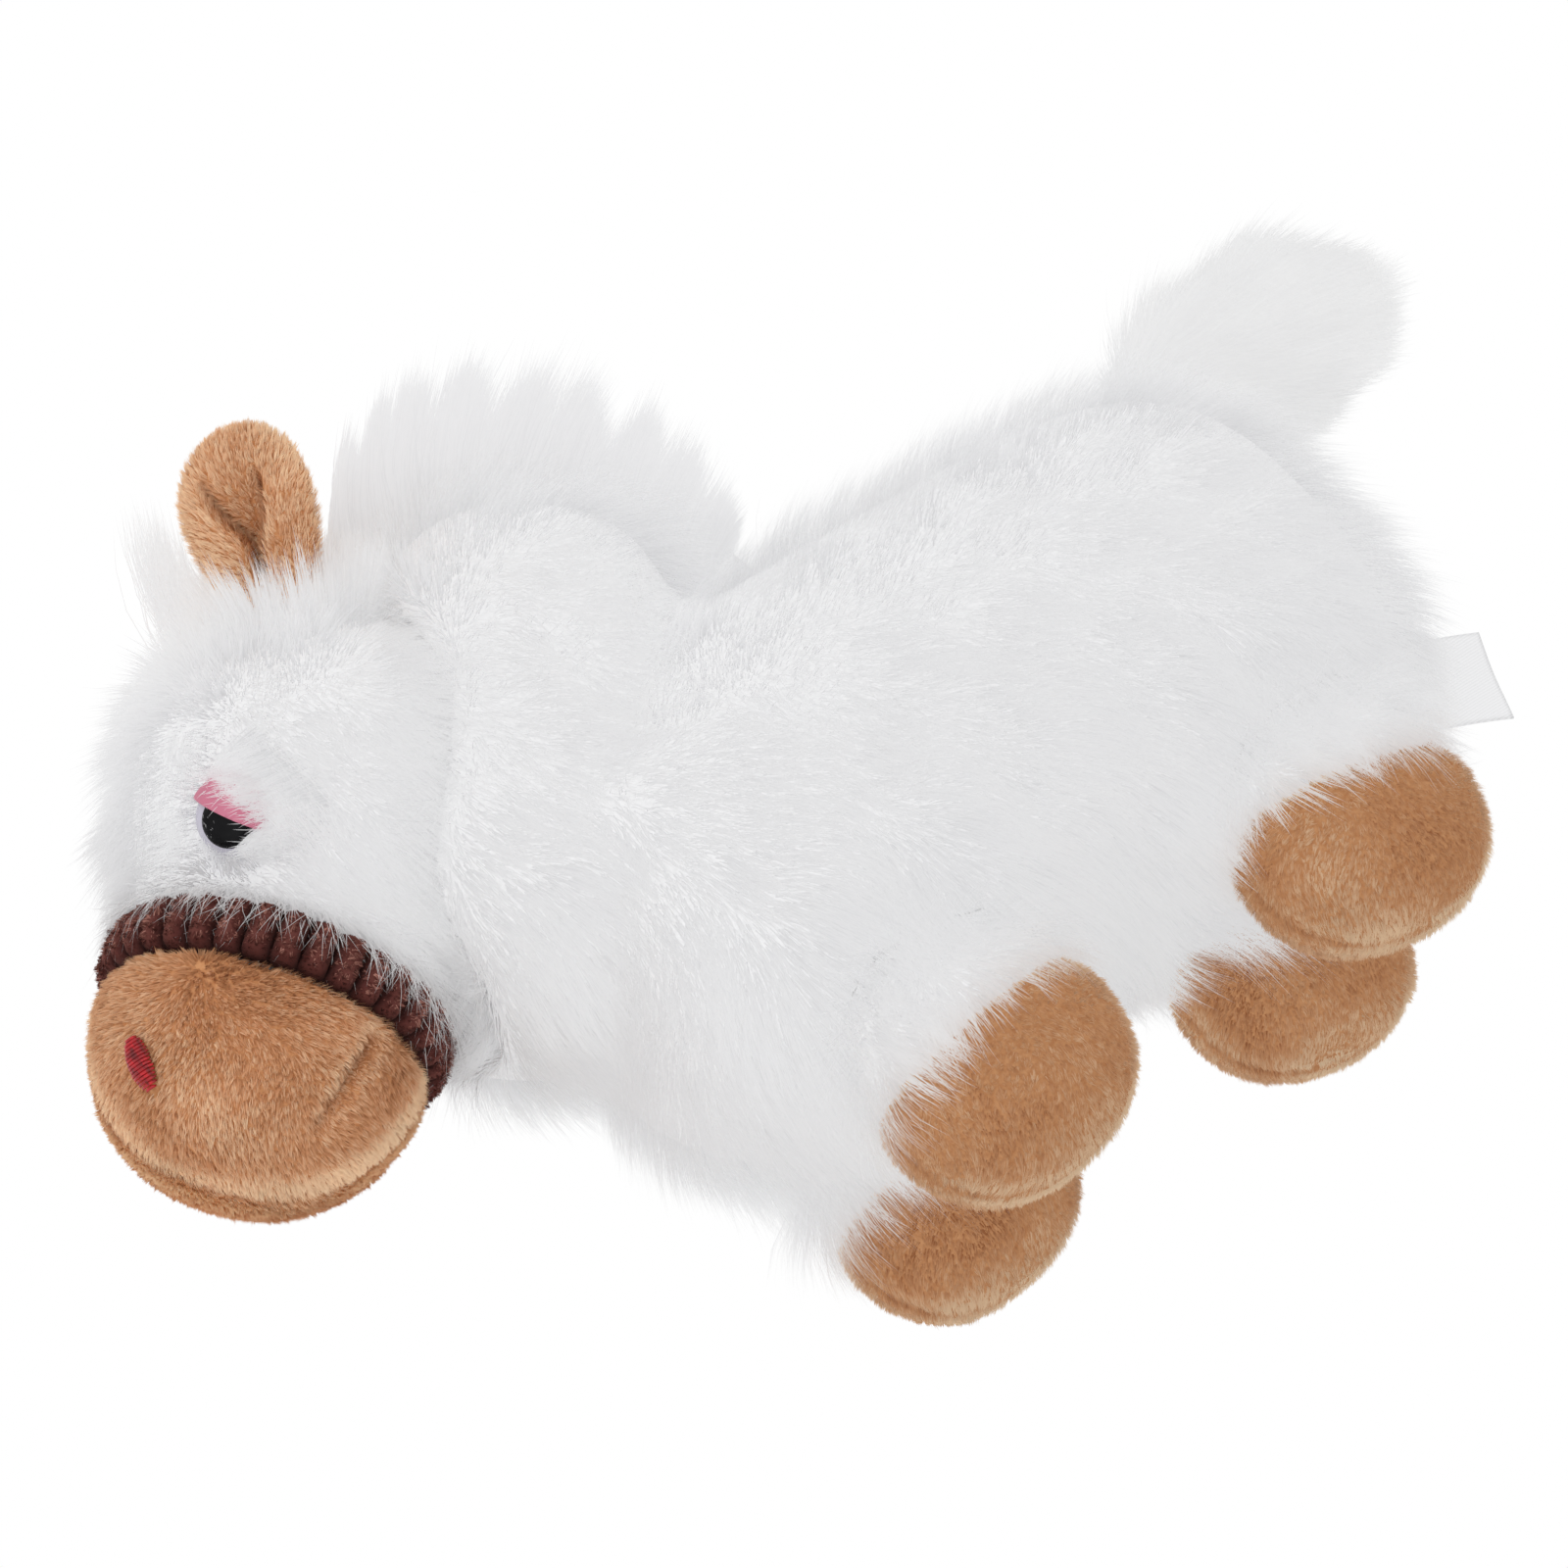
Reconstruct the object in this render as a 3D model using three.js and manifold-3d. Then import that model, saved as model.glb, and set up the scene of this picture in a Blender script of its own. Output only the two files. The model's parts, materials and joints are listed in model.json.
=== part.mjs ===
// Plush horse with long white fur, tan hooves, muzzle and ears, and a corduroy noseband.
// Millimetres, +Z up. The nose points along -Y and +X is the horse's left side.
// It stands on its four hooves. A furred solid is the cloth with its pile half pressed down.
import * as THREE from 'three';
import { mergeVertices } from 'three/addons/utils/BufferGeometryUtils.js';
import Module from 'manifold-3d';

const wasm = await Module();
wasm.setup();

// Cloth, seams and clearances
const furWall = 4.5;
const plushWall = 3;
const seamGap = 0.3;
const seatGap = 0.9;
const cutOverrun = 30;

// Torso
const torsoLength = 197;
const torsoHeight = 114;
const torsoWidth = 92;
const bellyHeight = 35;
const torsoEndShare = 0.5;
const torsoSideShare = 0.84;
const gussetWidth = 38;
const gussetRise = 26;

// Neck, a swollen wedge from crest to throat
const neckLength = 124;
const neckDepth = 76;
const neckWidth = 80;
const neckSetback = 22.8;
const neckDrop = 13.8;
const neckLean = THREE.MathUtils.degToRad(34);
const neckEndShare = 0.68;
const neckSideShare = 0.84;

// Head ball, snout and muzzle
const headRadius = 41;
const headStand = 3;
const headDrop = 5.6;
const snoutLength = 46;
const snoutPitch = THREE.MathUtils.degToRad(45);
const bandPitch = THREE.MathUtils.degToRad(38);
const bandSeatRadius = 32.5;
const muzzleRadius = 34;
const muzzleLength = 40;
const muzzleRoundShare = 0.84;
const muzzleSwellShare = 0.22;

// Noseband
const bandWidth = 10;
const bandProud = 0.8;
const ribCount = 36;
const ribHeight = 1.3;
const bandEdge = 1.2;

// Motion allowed by the soft joints
const nodUp = THREE.MathUtils.degToRad(12);
const nodDown = THREE.MathUtils.degToRad(8);
const tailUp = THREE.MathUtils.degToRad(25);
const tailDown = THREE.MathUtils.degToRad(30);
const earSwing = THREE.MathUtils.degToRad(20);
const labelSwing = THREE.MathUtils.degToRad(40);

// Hooves and the fur legs above them
const hoofLength = 54;
const hoofWidth = 40;
const hoofHeight = 31;
const hoofSpread = 56;
const frontHoofTilt = THREE.MathUtils.degToRad(6);
const rearHoofTilt = THREE.MathUtils.degToRad(-12);
const frontHoofReach = 49.5;
const rearHoofReach = 45.5;
const hoofRoundShare = 0.86;
const hoofTopTurn = THREE.MathUtils.degToRad(24);
const hoofEquatorShare = 0.8;
const soleCut = 0.5;
const legWidth = 39;
const legLength = 50;
const legHeight = 42;
const legRise = 10;
const legRoundShare = 0.84;

// Mane along the neck seam and the forelock between the ears
const maneHeight = 31;
const maneWidth = 12;
const maneRoundShare = 0.8;
const maneEndShare = 0.1;
const maneFrontShare = 0.48;
const forelockDepth = 14;
const forelockHeight = 24;
const forelockWidth = 18;
const forelockRise = THREE.MathUtils.degToRad(98);

// Tail
const tailLength = 75;
const tailHeight = 44;
const tailWidth = 26;
const tailRootTurn = THREE.MathUtils.degToRad(25);
const tailRootSink = 6;
const tailDroop = THREE.MathUtils.degToRad(-8);
const tailRoundShare = 0.86;

// Ears, each a leaf of two layers folded round its middle
const earHeight = 37;
const earCloth = 1.7;
const earSpan = 46;
const earAzimuth = THREE.MathUtils.degToRad(117);
const earRise = THREE.MathUtils.degToRad(46);
const earRootFold = THREE.MathUtils.degToRad(150);
const earTipFold = THREE.MathUtils.degToRad(62);
const earOut = THREE.MathUtils.degToRad(8);
const earBack = THREE.MathUtils.degToRad(26);
const earFacing = THREE.MathUtils.degToRad(30);
const earSink = 3;
const earRootShare = 0.62;
const earTipShare = 0.5;

// Plastic eyes
const eyeDiameter = 14.5;
const eyeDome = 4.6;
const eyeRimHeight = 1.6;
const pupilDiameter = 10.6;
const pupilOffset = 1.2;
const pupilThickness = 1.6;
const eyeAzimuth = THREE.MathUtils.degToRad(52);
const eyeFall = THREE.MathUtils.degToRad(10.7);
const shankDiameter = 4.2;
const shankLength = 15;
const washerDiameter = 13;
const washerThickness = 1.8;
const washerClearance = 1.2;
const lidThickness = 1.1;
const lidLineShare = 0.05;
const lidTilt = THREE.MathUtils.degToRad(-71);

// Embroidered nostrils
const nostrilHeight = 10;
const nostrilWidth = 5.6;
const nostrilThickness = 0.8;
const nostrilAzimuth = THREE.MathUtils.degToRad(42);
const nostrilRise = THREE.MathUtils.degToRad(7);
const nostrilTilt = THREE.MathUtils.degToRad(14);
const muzzleCoreShare = 0.3;

// Care label sewn into the rump seam
const labelWidth = 22;
const labelLength = 23;
const labelThickness = 0.5;
const labelTurn = THREE.MathUtils.degToRad(-23);
const labelSink = 3;

// Facets
const torsoRings = 14;
const torsoAround = 20;
const neckRings = 12;
const neckAround = 16;
const ballSteps = 6;
const snoutSteps = 3;
const muzzleSteps = 6;
const headAround = 18;
const seatAround = 24;
const hoofSteps = 5;
const hoofAround = 14;
const legRings = 7;
const legAround = 12;
const ribSteps = 3;
const earAcross = 8;
const earAlong = 6;
const eyeAround = 16;
const eyeSteps = 3;
const smallRings = 9;
const smallAround = 12;

// Colours
const furWhite = 0xecebea;
const plushTan = 0xc18a58;
const corduroyBrown = 0x55302b;
const stuffingWhite = 0xf4f2ec;
const threadRed = 0xa31f22;
const eyeWhite = 0xd9d7de;
const eyeBlack = 0x0c0c0e;
const lidPink = 0xd27f90;
const plasticClear = 0xd8dadd;
const labelWhite = 0xf3f2ef;

const sideways = new THREE.Vector3(1, 0, 0);
const upward = new THREE.Vector3(0, 0, 1);

function cloth(color) {
  return new THREE.MeshStandardMaterial({ color, roughness: 0.95, metalness: 0 });
}

function plastic(color) {
  return new THREE.MeshStandardMaterial({ color, roughness: 0.15, metalness: 0 });
}

const fur = cloth(furWhite);
const plush = cloth(plushTan);
const corduroy = cloth(corduroyBrown);
const stuffing = cloth(stuffingWhite);
const thread = cloth(threadRed);
const labelCloth = cloth(labelWhite);
const eyeShell = plastic(eyeWhite);
const pupilBlack = plastic(eyeBlack);
const lidPlastic = plastic(lidPink);
const washerPlastic = plastic(plasticClear);

// A closed body from rings of points; a ring of one point closes an end.
function loft(rings) {
  const places = rings.flat();
  const starts = [];
  let count = 0;
  for (const ring of rings) {
    starts.push(count);
    count += ring.length;
  }
  const faces = [];
  for (let i = 0; i + 1 < rings.length; i += 1) {
    const here = rings[i].length;
    const next = rings[i + 1].length;
    const around = Math.max(here, next);
    for (let j = 0; j < around; j += 1) {
      const a = starts[i] + (j % here);
      const b = starts[i] + ((j + 1) % here);
      const c = starts[i + 1] + (j % next);
      const d = starts[i + 1] + ((j + 1) % next);
      if (here > 1) faces.push(a, b, d);
      if (next > 1) faces.push(a, d, c);
    }
  }
  return new THREE.BufferGeometry().setFromPoints(places).setIndex(faces);
}

function signedVolume(geometry) {
  const place = geometry.getAttribute('position');
  const order = geometry.getIndex();
  const [a, b, c] = [new THREE.Vector3(), new THREE.Vector3(), new THREE.Vector3()];
  let volume = 0;
  for (let i = 0; i < order.count; i += 3) {
    a.fromBufferAttribute(place, order.getX(i));
    b.fromBufferAttribute(place, order.getX(i + 1));
    c.fromBufferAttribute(place, order.getX(i + 2));
    volume += a.dot(b.cross(c)) / 6;
  }
  return volume;
}

// The centre of a loft's flat end, as a ring of one point.
function middle(ring) {
  const centre = new THREE.Vector3();
  for (const point of ring) centre.add(point);
  return [centre.divideScalar(ring.length)];
}

function solid(geometry) {
  const plain = geometry.clone();
  for (const name of ['normal', 'uv']) plain.deleteAttribute(name);
  const merged = mergeVertices(plain);
  const order = merged.getIndex().array;
  const faces = [];
  for (let i = 0; i < order.length; i += 3) {
    const [a, b, c] = order.slice(i, i + 3);
    if (a !== b && b !== c && c !== a) faces.push(a, b, c);
  }
  merged.setIndex(faces);
  if (signedVolume(merged) < 0) faces.reverse();
  return new wasm.Manifold(new wasm.Mesh({
    numProp: 3,
    vertProperties: new Float32Array(merged.getAttribute('position').array),
    triVerts: new Uint32Array(faces),
  }));
}

function surface(body) {
  const { vertProperties, triVerts } = body.getMesh();
  const geometry = new THREE.BufferGeometry();
  geometry.setAttribute('position', new THREE.BufferAttribute(new Float32Array(vertProperties), 3));
  geometry.setIndex(new THREE.BufferAttribute(new Uint32Array(triVerts), 1));
  return geometry;
}

function joined(...bodies) {
  return bodies.reduce((whole, body) => whole.add(body));
}

function less(body, ...cutters) {
  return cutters.reduce((rest, cutter) => rest.subtract(cutter), body);
}

function rooted(value, share) {
  return Math.sign(value) * Math.abs(value) ** share;
}

// A swollen closed form: an ellipsoid whose ends and sides are filled out by the two shares.
// Shares of 1 give an ellipsoid and smaller ones a fuller, boxier form.
function swollen({ centre, along, up, halves, endShare, sideShare, rings, around, grow = 0 }) {
  const side = new THREE.Vector3().crossVectors(up, along);
  const [reach, width, height] = halves.map((half) => half + grow);
  const hoops = [];
  for (let i = 0; i <= rings; i += 1) {
    const theta = (Math.PI * i) / rings;
    const share = rooted(Math.sin(theta), endShare);
    const hub = centre.clone().addScaledVector(along, -rooted(Math.cos(theta), endShare) * reach);
    if (i === 0 || i === rings) {
      hoops.push([hub]);
    } else {
      hoops.push(Array.from({ length: around }, (_, j) => {
        const turn = (2 * Math.PI * j) / around;
        return hub.clone()
          .addScaledVector(side, rooted(Math.cos(turn), sideShare) * share * width)
          .addScaledVector(up, rooted(Math.sin(turn), sideShare) * share * height);
      }));
    }
  }
  return loft(hoops);
}

// A round ring of points about a hub, square to the normal, in the horse's middle plane frame.
function hoop(hub, normal, radius, around) {
  const up = new THREE.Vector3().crossVectors(sideways, normal).normalize();
  return Array.from({ length: around }, (_, j) => {
    const turn = (2 * Math.PI * (j + 0.5)) / around;
    return hub.clone()
      .addScaledVector(sideways, Math.cos(turn) * radius)
      .addScaledVector(up, Math.sin(turn) * radius);
  });
}

// A box between two corners.
function block(low, high) {
  const size = high.clone().sub(low);
  const geometry = new THREE.BoxGeometry(size.x, size.y, size.z);
  const centre = low.clone().add(high).multiplyScalar(0.5);
  return geometry.translate(centre.x, centre.y, centre.z);
}

function turned(geometry, pivot, axis, angle) {
  return geometry.clone()
    .translate(-pivot.x, -pivot.y, -pivot.z)
    .applyMatrix4(new THREE.Matrix4().makeRotationAxis(axis, angle))
    .translate(pivot.x, pivot.y, pivot.z);
}

// One body that fills every place a moving form takes between two angles.
function swept(geometry, pivot, axis, angles) {
  return joined(...angles.map((angle) => solid(turned(geometry, pivot, axis, angle))));
}

// Where a ray from inside a form leaves it, and the direction its surface faces there.
function seatOn(geometry, from, direction) {
  const target = new THREE.Mesh(geometry, new THREE.MeshBasicMaterial({ side: THREE.DoubleSide }));
  const hits = new THREE.Raycaster(from, direction).intersectObject(target);
  return hits[hits.length - 1].point;
}

function direction(azimuth, rise, left = 1) {
  return new THREE.Vector3(
    left * Math.sin(azimuth) * Math.cos(rise),
    -Math.cos(azimuth) * Math.cos(rise),
    Math.sin(rise),
  );
}

// A frame whose Z points outward, with its Y as near to the given up as it can be.
function outwardFrame(place, outward, up) {
  const across = new THREE.Vector3().crossVectors(up, outward).normalize();
  const upright = new THREE.Vector3().crossVectors(outward, across);
  return new THREE.Matrix4().makeBasis(across, upright, outward).setPosition(place);
}

// Places that the pieces share
const torsoCentre = new THREE.Vector3(0, 0, bellyHeight + torsoHeight / 2);
const crestward = new THREE.Vector3(0, Math.sin(neckLean), Math.cos(neckLean));
const headward = new THREE.Vector3(0, -Math.cos(neckLean), Math.sin(neckLean));
const neckCentre = new THREE.Vector3(
  0,
  neckSetback - torsoLength / 2,
  torsoCentre.z + torsoHeight / 2 - neckDrop,
);
const headCentre = neckCentre.clone()
  .addScaledVector(headward, neckDepth / 2 + headStand)
  .addScaledVector(crestward, -headDrop);
const snoutward = new THREE.Vector3(0, -Math.cos(snoutPitch), -Math.sin(snoutPitch));
const noseward = new THREE.Vector3(0, -Math.cos(bandPitch), -Math.sin(bandPitch));
const bandCentre = headCentre.clone().addScaledVector(snoutward, snoutLength);

function torsoForm(grow = 0) {
  return swollen({
    centre: torsoCentre,
    along: new THREE.Vector3(0, 1, 0),
    up: upward,
    halves: [torsoLength / 2, torsoWidth / 2, torsoHeight / 2],
    endShare: torsoEndShare,
    sideShare: torsoSideShare,
    rings: torsoRings,
    around: torsoAround,
    grow,
  });
}

function neckForm(grow = 0) {
  return swollen({
    centre: neckCentre,
    along: crestward,
    up: headward,
    halves: [neckLength / 2, neckWidth / 2, neckDepth / 2],
    endShare: neckEndShare,
    sideShare: neckSideShare,
    rings: neckRings,
    around: neckAround,
    grow,
  });
}

// Hoops of the snout from the ball to the band, then of the domed muzzle
function snoutHoops(grow) {
  const hoops = [];
  for (let i = 1; i <= snoutSteps; i += 1) {
    const share = i / snoutSteps;
    const eased = THREE.MathUtils.smoothstep(share, 0, 1);
    const hub = headCentre.clone().lerp(bandCentre, share);
    const facing = snoutward.clone().lerp(noseward, share).normalize();
    const radius = THREE.MathUtils.lerp(headRadius, bandSeatRadius, eased) + grow;
    hoops.push(hoop(hub, facing, radius, headAround));
  }
  for (let i = 1; i <= muzzleSteps; i += 1) {
    const theta = (Math.PI / 2) * (i / muzzleSteps);
    const ahead = rooted(Math.sin(theta), muzzleRoundShare);
    const narrowing = rooted(Math.cos(theta), muzzleRoundShare);
    const swell = Math.min(1, ahead / muzzleSwellShare);
    const radius = THREE.MathUtils.lerp(bandSeatRadius, muzzleRadius, swell) + grow;
    const hub = bandCentre.clone().addScaledVector(noseward, ahead * (muzzleLength + grow));
    hoops.push(i < muzzleSteps ? hoop(hub, noseward, radius * narrowing, headAround) : [hub]);
  }
  return hoops;
}

// The head ball runs on into the snout and ends in the domed muzzle.
function headForm(grow = 0) {
  const radius = headRadius + grow;
  const hoops = [[headCentre.clone().addScaledVector(snoutward, -radius)]];
  for (let i = 1; i <= ballSteps; i += 1) {
    const theta = (Math.PI / 2) * (i / ballSteps);
    const hub = headCentre.clone().addScaledVector(snoutward, -Math.cos(theta) * radius);
    hoops.push(hoop(hub, snoutward, Math.sin(theta) * radius, headAround));
  }
  return loft([...hoops, ...snoutHoops(grow)]);
}

// The room that the head takes as it nods: its ball, its snout at each angle, and the
// noseband where it comes down to the throat
function headRoom() {
  const facetShare = Math.cos(Math.PI / seatAround) ** 2;
  const seatRadius = (headRadius + seatGap) / facetShare;
  const ball = new THREE.SphereGeometry(seatRadius, seatAround, seatAround / 2)
    .translate(headCentre.x, headCentre.y, headCentre.z);
  const snout = loft([[headCentre], ...snoutHoops(seatGap)]);
  const bandRadius = (bandSeatRadius + bandProud + ribHeight + seatGap) / Math.cos(Math.PI / seatAround);
  const bandReach = bandWidth / 2 + seatGap;
  const rims = [-bandReach, bandReach].map((ahead) => hoop(
    bandCentre.clone().addScaledVector(noseward, ahead),
    noseward,
    bandRadius,
    seatAround,
  ));
  const band = loft([middle(rims[0]), ...rims, middle(rims[1])]);
  return joined(
    solid(ball),
    swept(snout, headCentre, sideways, [-nodUp, 0, nodDown]),
    swept(band, headCentre, sideways, [nodDown / 2, nodDown]),
  );
}

const headSpace = headRoom();
const bodyForm = joined(solid(torsoForm()), solid(neckForm()));

// Body cover: two side panels and a belly gusset, open at the neck
function coverPanels() {
  const inside = joined(solid(torsoForm(-furWall)), solid(neckForm(-furWall)));
  const shell = less(bodyForm, inside, headSpace);
  const reach = torsoLength + neckLength;
  const split = torsoCentre.z - torsoHeight / 2 + gussetRise;
  const wide = torsoWidth + cutOverrun;
  const gussetRoom = (margin) => solid(block(
    new THREE.Vector3(-gussetWidth / 2 - margin, -reach, -cutOverrun),
    new THREE.Vector3(gussetWidth / 2 + margin, reach, split + margin),
  ));
  const half = (left) => solid(block(
    new THREE.Vector3(left > 0 ? seamGap / 2 : -wide, -reach, -cutOverrun),
    new THREE.Vector3(left > 0 ? wide : -seamGap / 2, reach, reach + split),
  ));
  return {
    left: less(shell.intersect(half(1)), gussetRoom(seamGap)),
    right: less(shell.intersect(half(-1)), gussetRoom(seamGap)),
    gusset: shell.intersect(gussetRoom(0)),
  };
}

// A half space on one side of a plane square to the nose, as a wide block
function noseBlock(from, to) {
  const wide = headRadius + muzzleRadius + cutOverrun;
  const geometry = block(new THREE.Vector3(-wide, -wide, from), new THREE.Vector3(wide, wide, to));
  return solid(geometry.applyMatrix4(outwardFrame(bandCentre, noseward, upward)));
}

function sideBlock(left) {
  const wide = headRadius + cutOverrun;
  const reach = headRadius + snoutLength + muzzleLength + cutOverrun;
  const low = new THREE.Vector3(left > 0 ? seamGap / 2 : -wide, -reach, -reach);
  const high = new THREE.Vector3(left > 0 ? wide : -seamGap / 2, reach, reach);
  return solid(block(low, high).translate(headCentre.x, headCentre.y, headCentre.z));
}

// Ribbed drum that the noseband is cut from: its ribs run along the head
function ribbedDrum() {
  const radiusAt = (share) => bandSeatRadius + bandProud + ribHeight * Math.sin(Math.PI * share);
  const outline = (inset, ahead) => {
    const hub = bandCentre.clone().addScaledVector(noseward, ahead);
    const up = new THREE.Vector3().crossVectors(sideways, noseward);
    return Array.from({ length: ribCount * ribSteps }, (_, j) => {
      const turn = (2 * Math.PI * j) / (ribCount * ribSteps);
      const radius = radiusAt((j % ribSteps) / ribSteps) - inset;
      return hub.clone()
        .addScaledVector(sideways, Math.cos(turn) * radius)
        .addScaledVector(up, Math.sin(turn) * radius);
    });
  };
  const half = bandWidth / 2;
  const hoops = [
    outline(bandEdge, -half),
    outline(0, bandEdge - half),
    outline(0, half - bandEdge),
    outline(bandEdge, half),
  ];
  return loft([middle(hoops[0]), ...hoops, middle(hoops[3])]);
}

// An eye's own frame: Z outward along the shank, Y up the face
function eyeFrame(left) {
  const outward = direction(eyeAzimuth, -eyeFall, left);
  const place = seatOn(headForm(), headCentre, outward);
  return outwardFrame(place, outward, upward);
}

function revolved(profile, around) {
  const points = profile.map(([radius, height]) => new THREE.Vector2(radius, height));
  return new THREE.LatheGeometry(points, around).rotateX(Math.PI / 2);
}

// Upper outline of the eye's dome, from its rim to its top
function domeProfile(grow = 0) {
  const points = [];
  for (let i = 0; i <= eyeSteps; i += 1) {
    const theta = (Math.PI / 2) * (i / eyeSteps);
    const radius = i < eyeSteps ? Math.cos(theta) * (eyeDiameter / 2 + grow) : 0;
    points.push([radius, eyeRimHeight + Math.sin(theta) * (eyeDome + grow)]);
  }
  return points;
}

function eyeBody() {
  return revolved([
    [0, -shankLength],
    [shankDiameter / 2, -shankLength],
    [shankDiameter / 2, seamGap],
    [eyeDiameter / 2, seamGap],
    ...domeProfile(),
  ], eyeAround);
}

function eyePieces(left) {
  const frame = eyeFrame(left);
  const bore = (radius, low, high) => revolved(
    [[0, low], [radius, low], [radius, high], [0, high]],
    eyeAround,
  );
  const top = eyeRimHeight + eyeDome;
  const pupilFloor = top - pupilThickness;
  const pupilRadius = pupilDiameter / 2;
  const shift = new THREE.Vector3(0, -pupilOffset, 0);
  const pupilBore = (gap) => solid(bore(pupilRadius + gap, pupilFloor - gap, top + cutOverrun)
    .translate(shift.x, shift.y, shift.z));
  const lidBase = eyeRimHeight / 2;
  const lidOuter = revolved([[0, lidBase], [eyeDiameter / 2 + seamGap + lidThickness, lidBase],
    ...domeProfile(seamGap + lidThickness)], eyeAround);
  const lidInner = revolved([[0, -seamGap], [eyeDiameter / 2 + seamGap, -seamGap],
    ...domeProfile(seamGap)], eyeAround);
  const lidLine = eyeDiameter * lidLineShare;
  const above = block(
    new THREE.Vector3(-eyeDiameter, lidLine, -eyeDiameter),
    new THREE.Vector3(eyeDiameter, eyeDiameter, eyeDiameter),
  ).rotateZ(left * lidTilt);
  const whole = solid(eyeBody());
  const washerTop = -furWall - washerClearance;
  const washer = revolved([
    [shankDiameter / 2 + seamGap, washerTop - washerThickness],
    [washerDiameter / 2, washerTop - washerThickness],
    [washerDiameter / 2, washerTop],
    [shankDiameter / 2 + seamGap, washerTop],
    [shankDiameter / 2 + seamGap, washerTop - washerThickness],
  ], eyeAround);
  const room = joined(
    solid(bore(shankDiameter / 2 + seamGap, -shankLength - seamGap, cutOverrun)),
    solid(bore(washerDiameter / 2 + seamGap, washerTop - washerThickness - seamGap, washerTop + seamGap)),
  );
  const placed = (body) => solid(surface(body).applyMatrix4(frame));
  return {
    shell: placed(less(whole, pupilBore(seamGap))),
    pupil: placed(whole.intersect(pupilBore(0))),
    lid: placed(less(solid(lidOuter), solid(lidInner)).intersect(solid(above))),
    washer: placed(solid(washer)),
    room: placed(room),
    seat: solid(bore(eyeDiameter / 2 + lidThickness + seamGap * 2, 0, headRadius)
      .applyMatrix4(frame)),
  };
}

// Head: two cover halves, two muzzle halves, the noseband and the stuffing they hold
function headPieces(eyes) {
  const half = bandWidth / 2;
  const outer = solid(headForm());
  const shell = less(outer, solid(headForm(-furWall)));
  const far = snoutLength + headRadius + cutOverrun;
  const behindBand = noseBlock(-far, -half - seamGap);
  const beforeBand = noseBlock(half + seamGap, far);
  const rooms = eyes.map((eye) => eye.room);
  const seats = eyes.map((eye) => eye.seat);
  const cover = less(shell.intersect(behindBand), ...rooms, ...seats);
  const muzzle = shell.intersect(beforeBand);
  const filling = less(solid(headForm(-furWall - seamGap)), ...rooms);
  return {
    coverLeft: cover.intersect(sideBlock(1)),
    coverRight: cover.intersect(sideBlock(-1)),
    muzzleLeft: muzzle.intersect(sideBlock(1)),
    muzzleRight: muzzle.intersect(sideBlock(-1)),
    filling,
    band: less(solid(ribbedDrum()), solid(headForm(-furWall))),
  };
}

// A nostril: an oval pad of stitches that follows the muzzle
function nostril(left) {
  const core = bandCentre.clone().addScaledVector(noseward, muzzleLength * muzzleCoreShare);
  const outward = direction(nostrilAzimuth, nostrilRise, left);
  const oval = revolved([
    [0, 0],
    [nostrilWidth / 2, 0],
    [nostrilWidth / 2, muzzleLength + muzzleRadius],
    [0, muzzleLength + muzzleRadius],
  ], smallAround);
  oval.scale(1, nostrilHeight / nostrilWidth, 1).rotateZ(left * nostrilTilt);
  oval.applyMatrix4(outwardFrame(core, outward, upward));
  const pad = solid(headForm(nostrilThickness + seamGap)).intersect(solid(oval));
  return less(pad, solid(headForm(seamGap)));
}

// A sheet of cloth between two grids of points, closed along its four edges
function sheet(low, high) {
  const rows = low.length;
  const across = low[0].length;
  const places = [...low.flat(), ...high.flat()];
  const at = (i, j, level) => (level * rows + i) * across + j;
  const faces = [];
  const quad = (a, b, c, d) => faces.push(a, b, c, a, c, d);
  for (let i = 0; i + 1 < rows; i += 1) {
    for (let j = 0; j + 1 < across; j += 1) {
      quad(at(i, j, 0), at(i, j + 1, 0), at(i + 1, j + 1, 0), at(i + 1, j, 0));
      quad(at(i, j, 1), at(i + 1, j, 1), at(i + 1, j + 1, 1), at(i, j + 1, 1));
    }
    quad(at(i, 0, 0), at(i + 1, 0, 0), at(i + 1, 0, 1), at(i, 0, 1));
    quad(at(i, across - 1, 0), at(i, across - 1, 1), at(i + 1, across - 1, 1), at(i + 1, across - 1, 0));
  }
  for (let j = 0; j + 1 < across; j += 1) {
    quad(at(0, j, 0), at(0, j, 1), at(0, j + 1, 1), at(0, j + 1, 0));
    quad(at(rows - 1, j, 0), at(rows - 1, j + 1, 0), at(rows - 1, j + 1, 1), at(rows - 1, j, 1));
  }
  return new THREE.BufferGeometry().setFromPoints(places).setIndex(faces);
}

// One ear layer between two heights above the outer face, in the ear's own frame:
// X across, Y up the ear and Z to its open side
function earLayer(from, to) {
  const pointAt = (u, v, lift) => {
    const fold = THREE.MathUtils.lerp(earRootFold, earTipFold, v);
    const swell = THREE.MathUtils.lerp(earRootShare, 1, Math.sin(Math.PI * v));
    const rounded = Math.max(earTipShare, Math.sqrt(Math.max(0, 1 - v ** 4)));
    const radius = (earSpan * swell * rounded) / 2 / fold;
    return new THREE.Vector3(
      Math.sin(fold * u) * (radius - lift),
      v * (earHeight + earSink) - earSink,
      radius - Math.cos(fold * u) * (radius - lift),
    );
  };
  const grid = (lift) => Array.from({ length: earAlong + 1 }, (_, i) => (
    Array.from({ length: earAcross + 1 }, (_unused, j) => (
      pointAt((2 * j) / earAcross - 1, i / earAlong, lift)))));
  return sheet(grid(from), grid(to));
}

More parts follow.
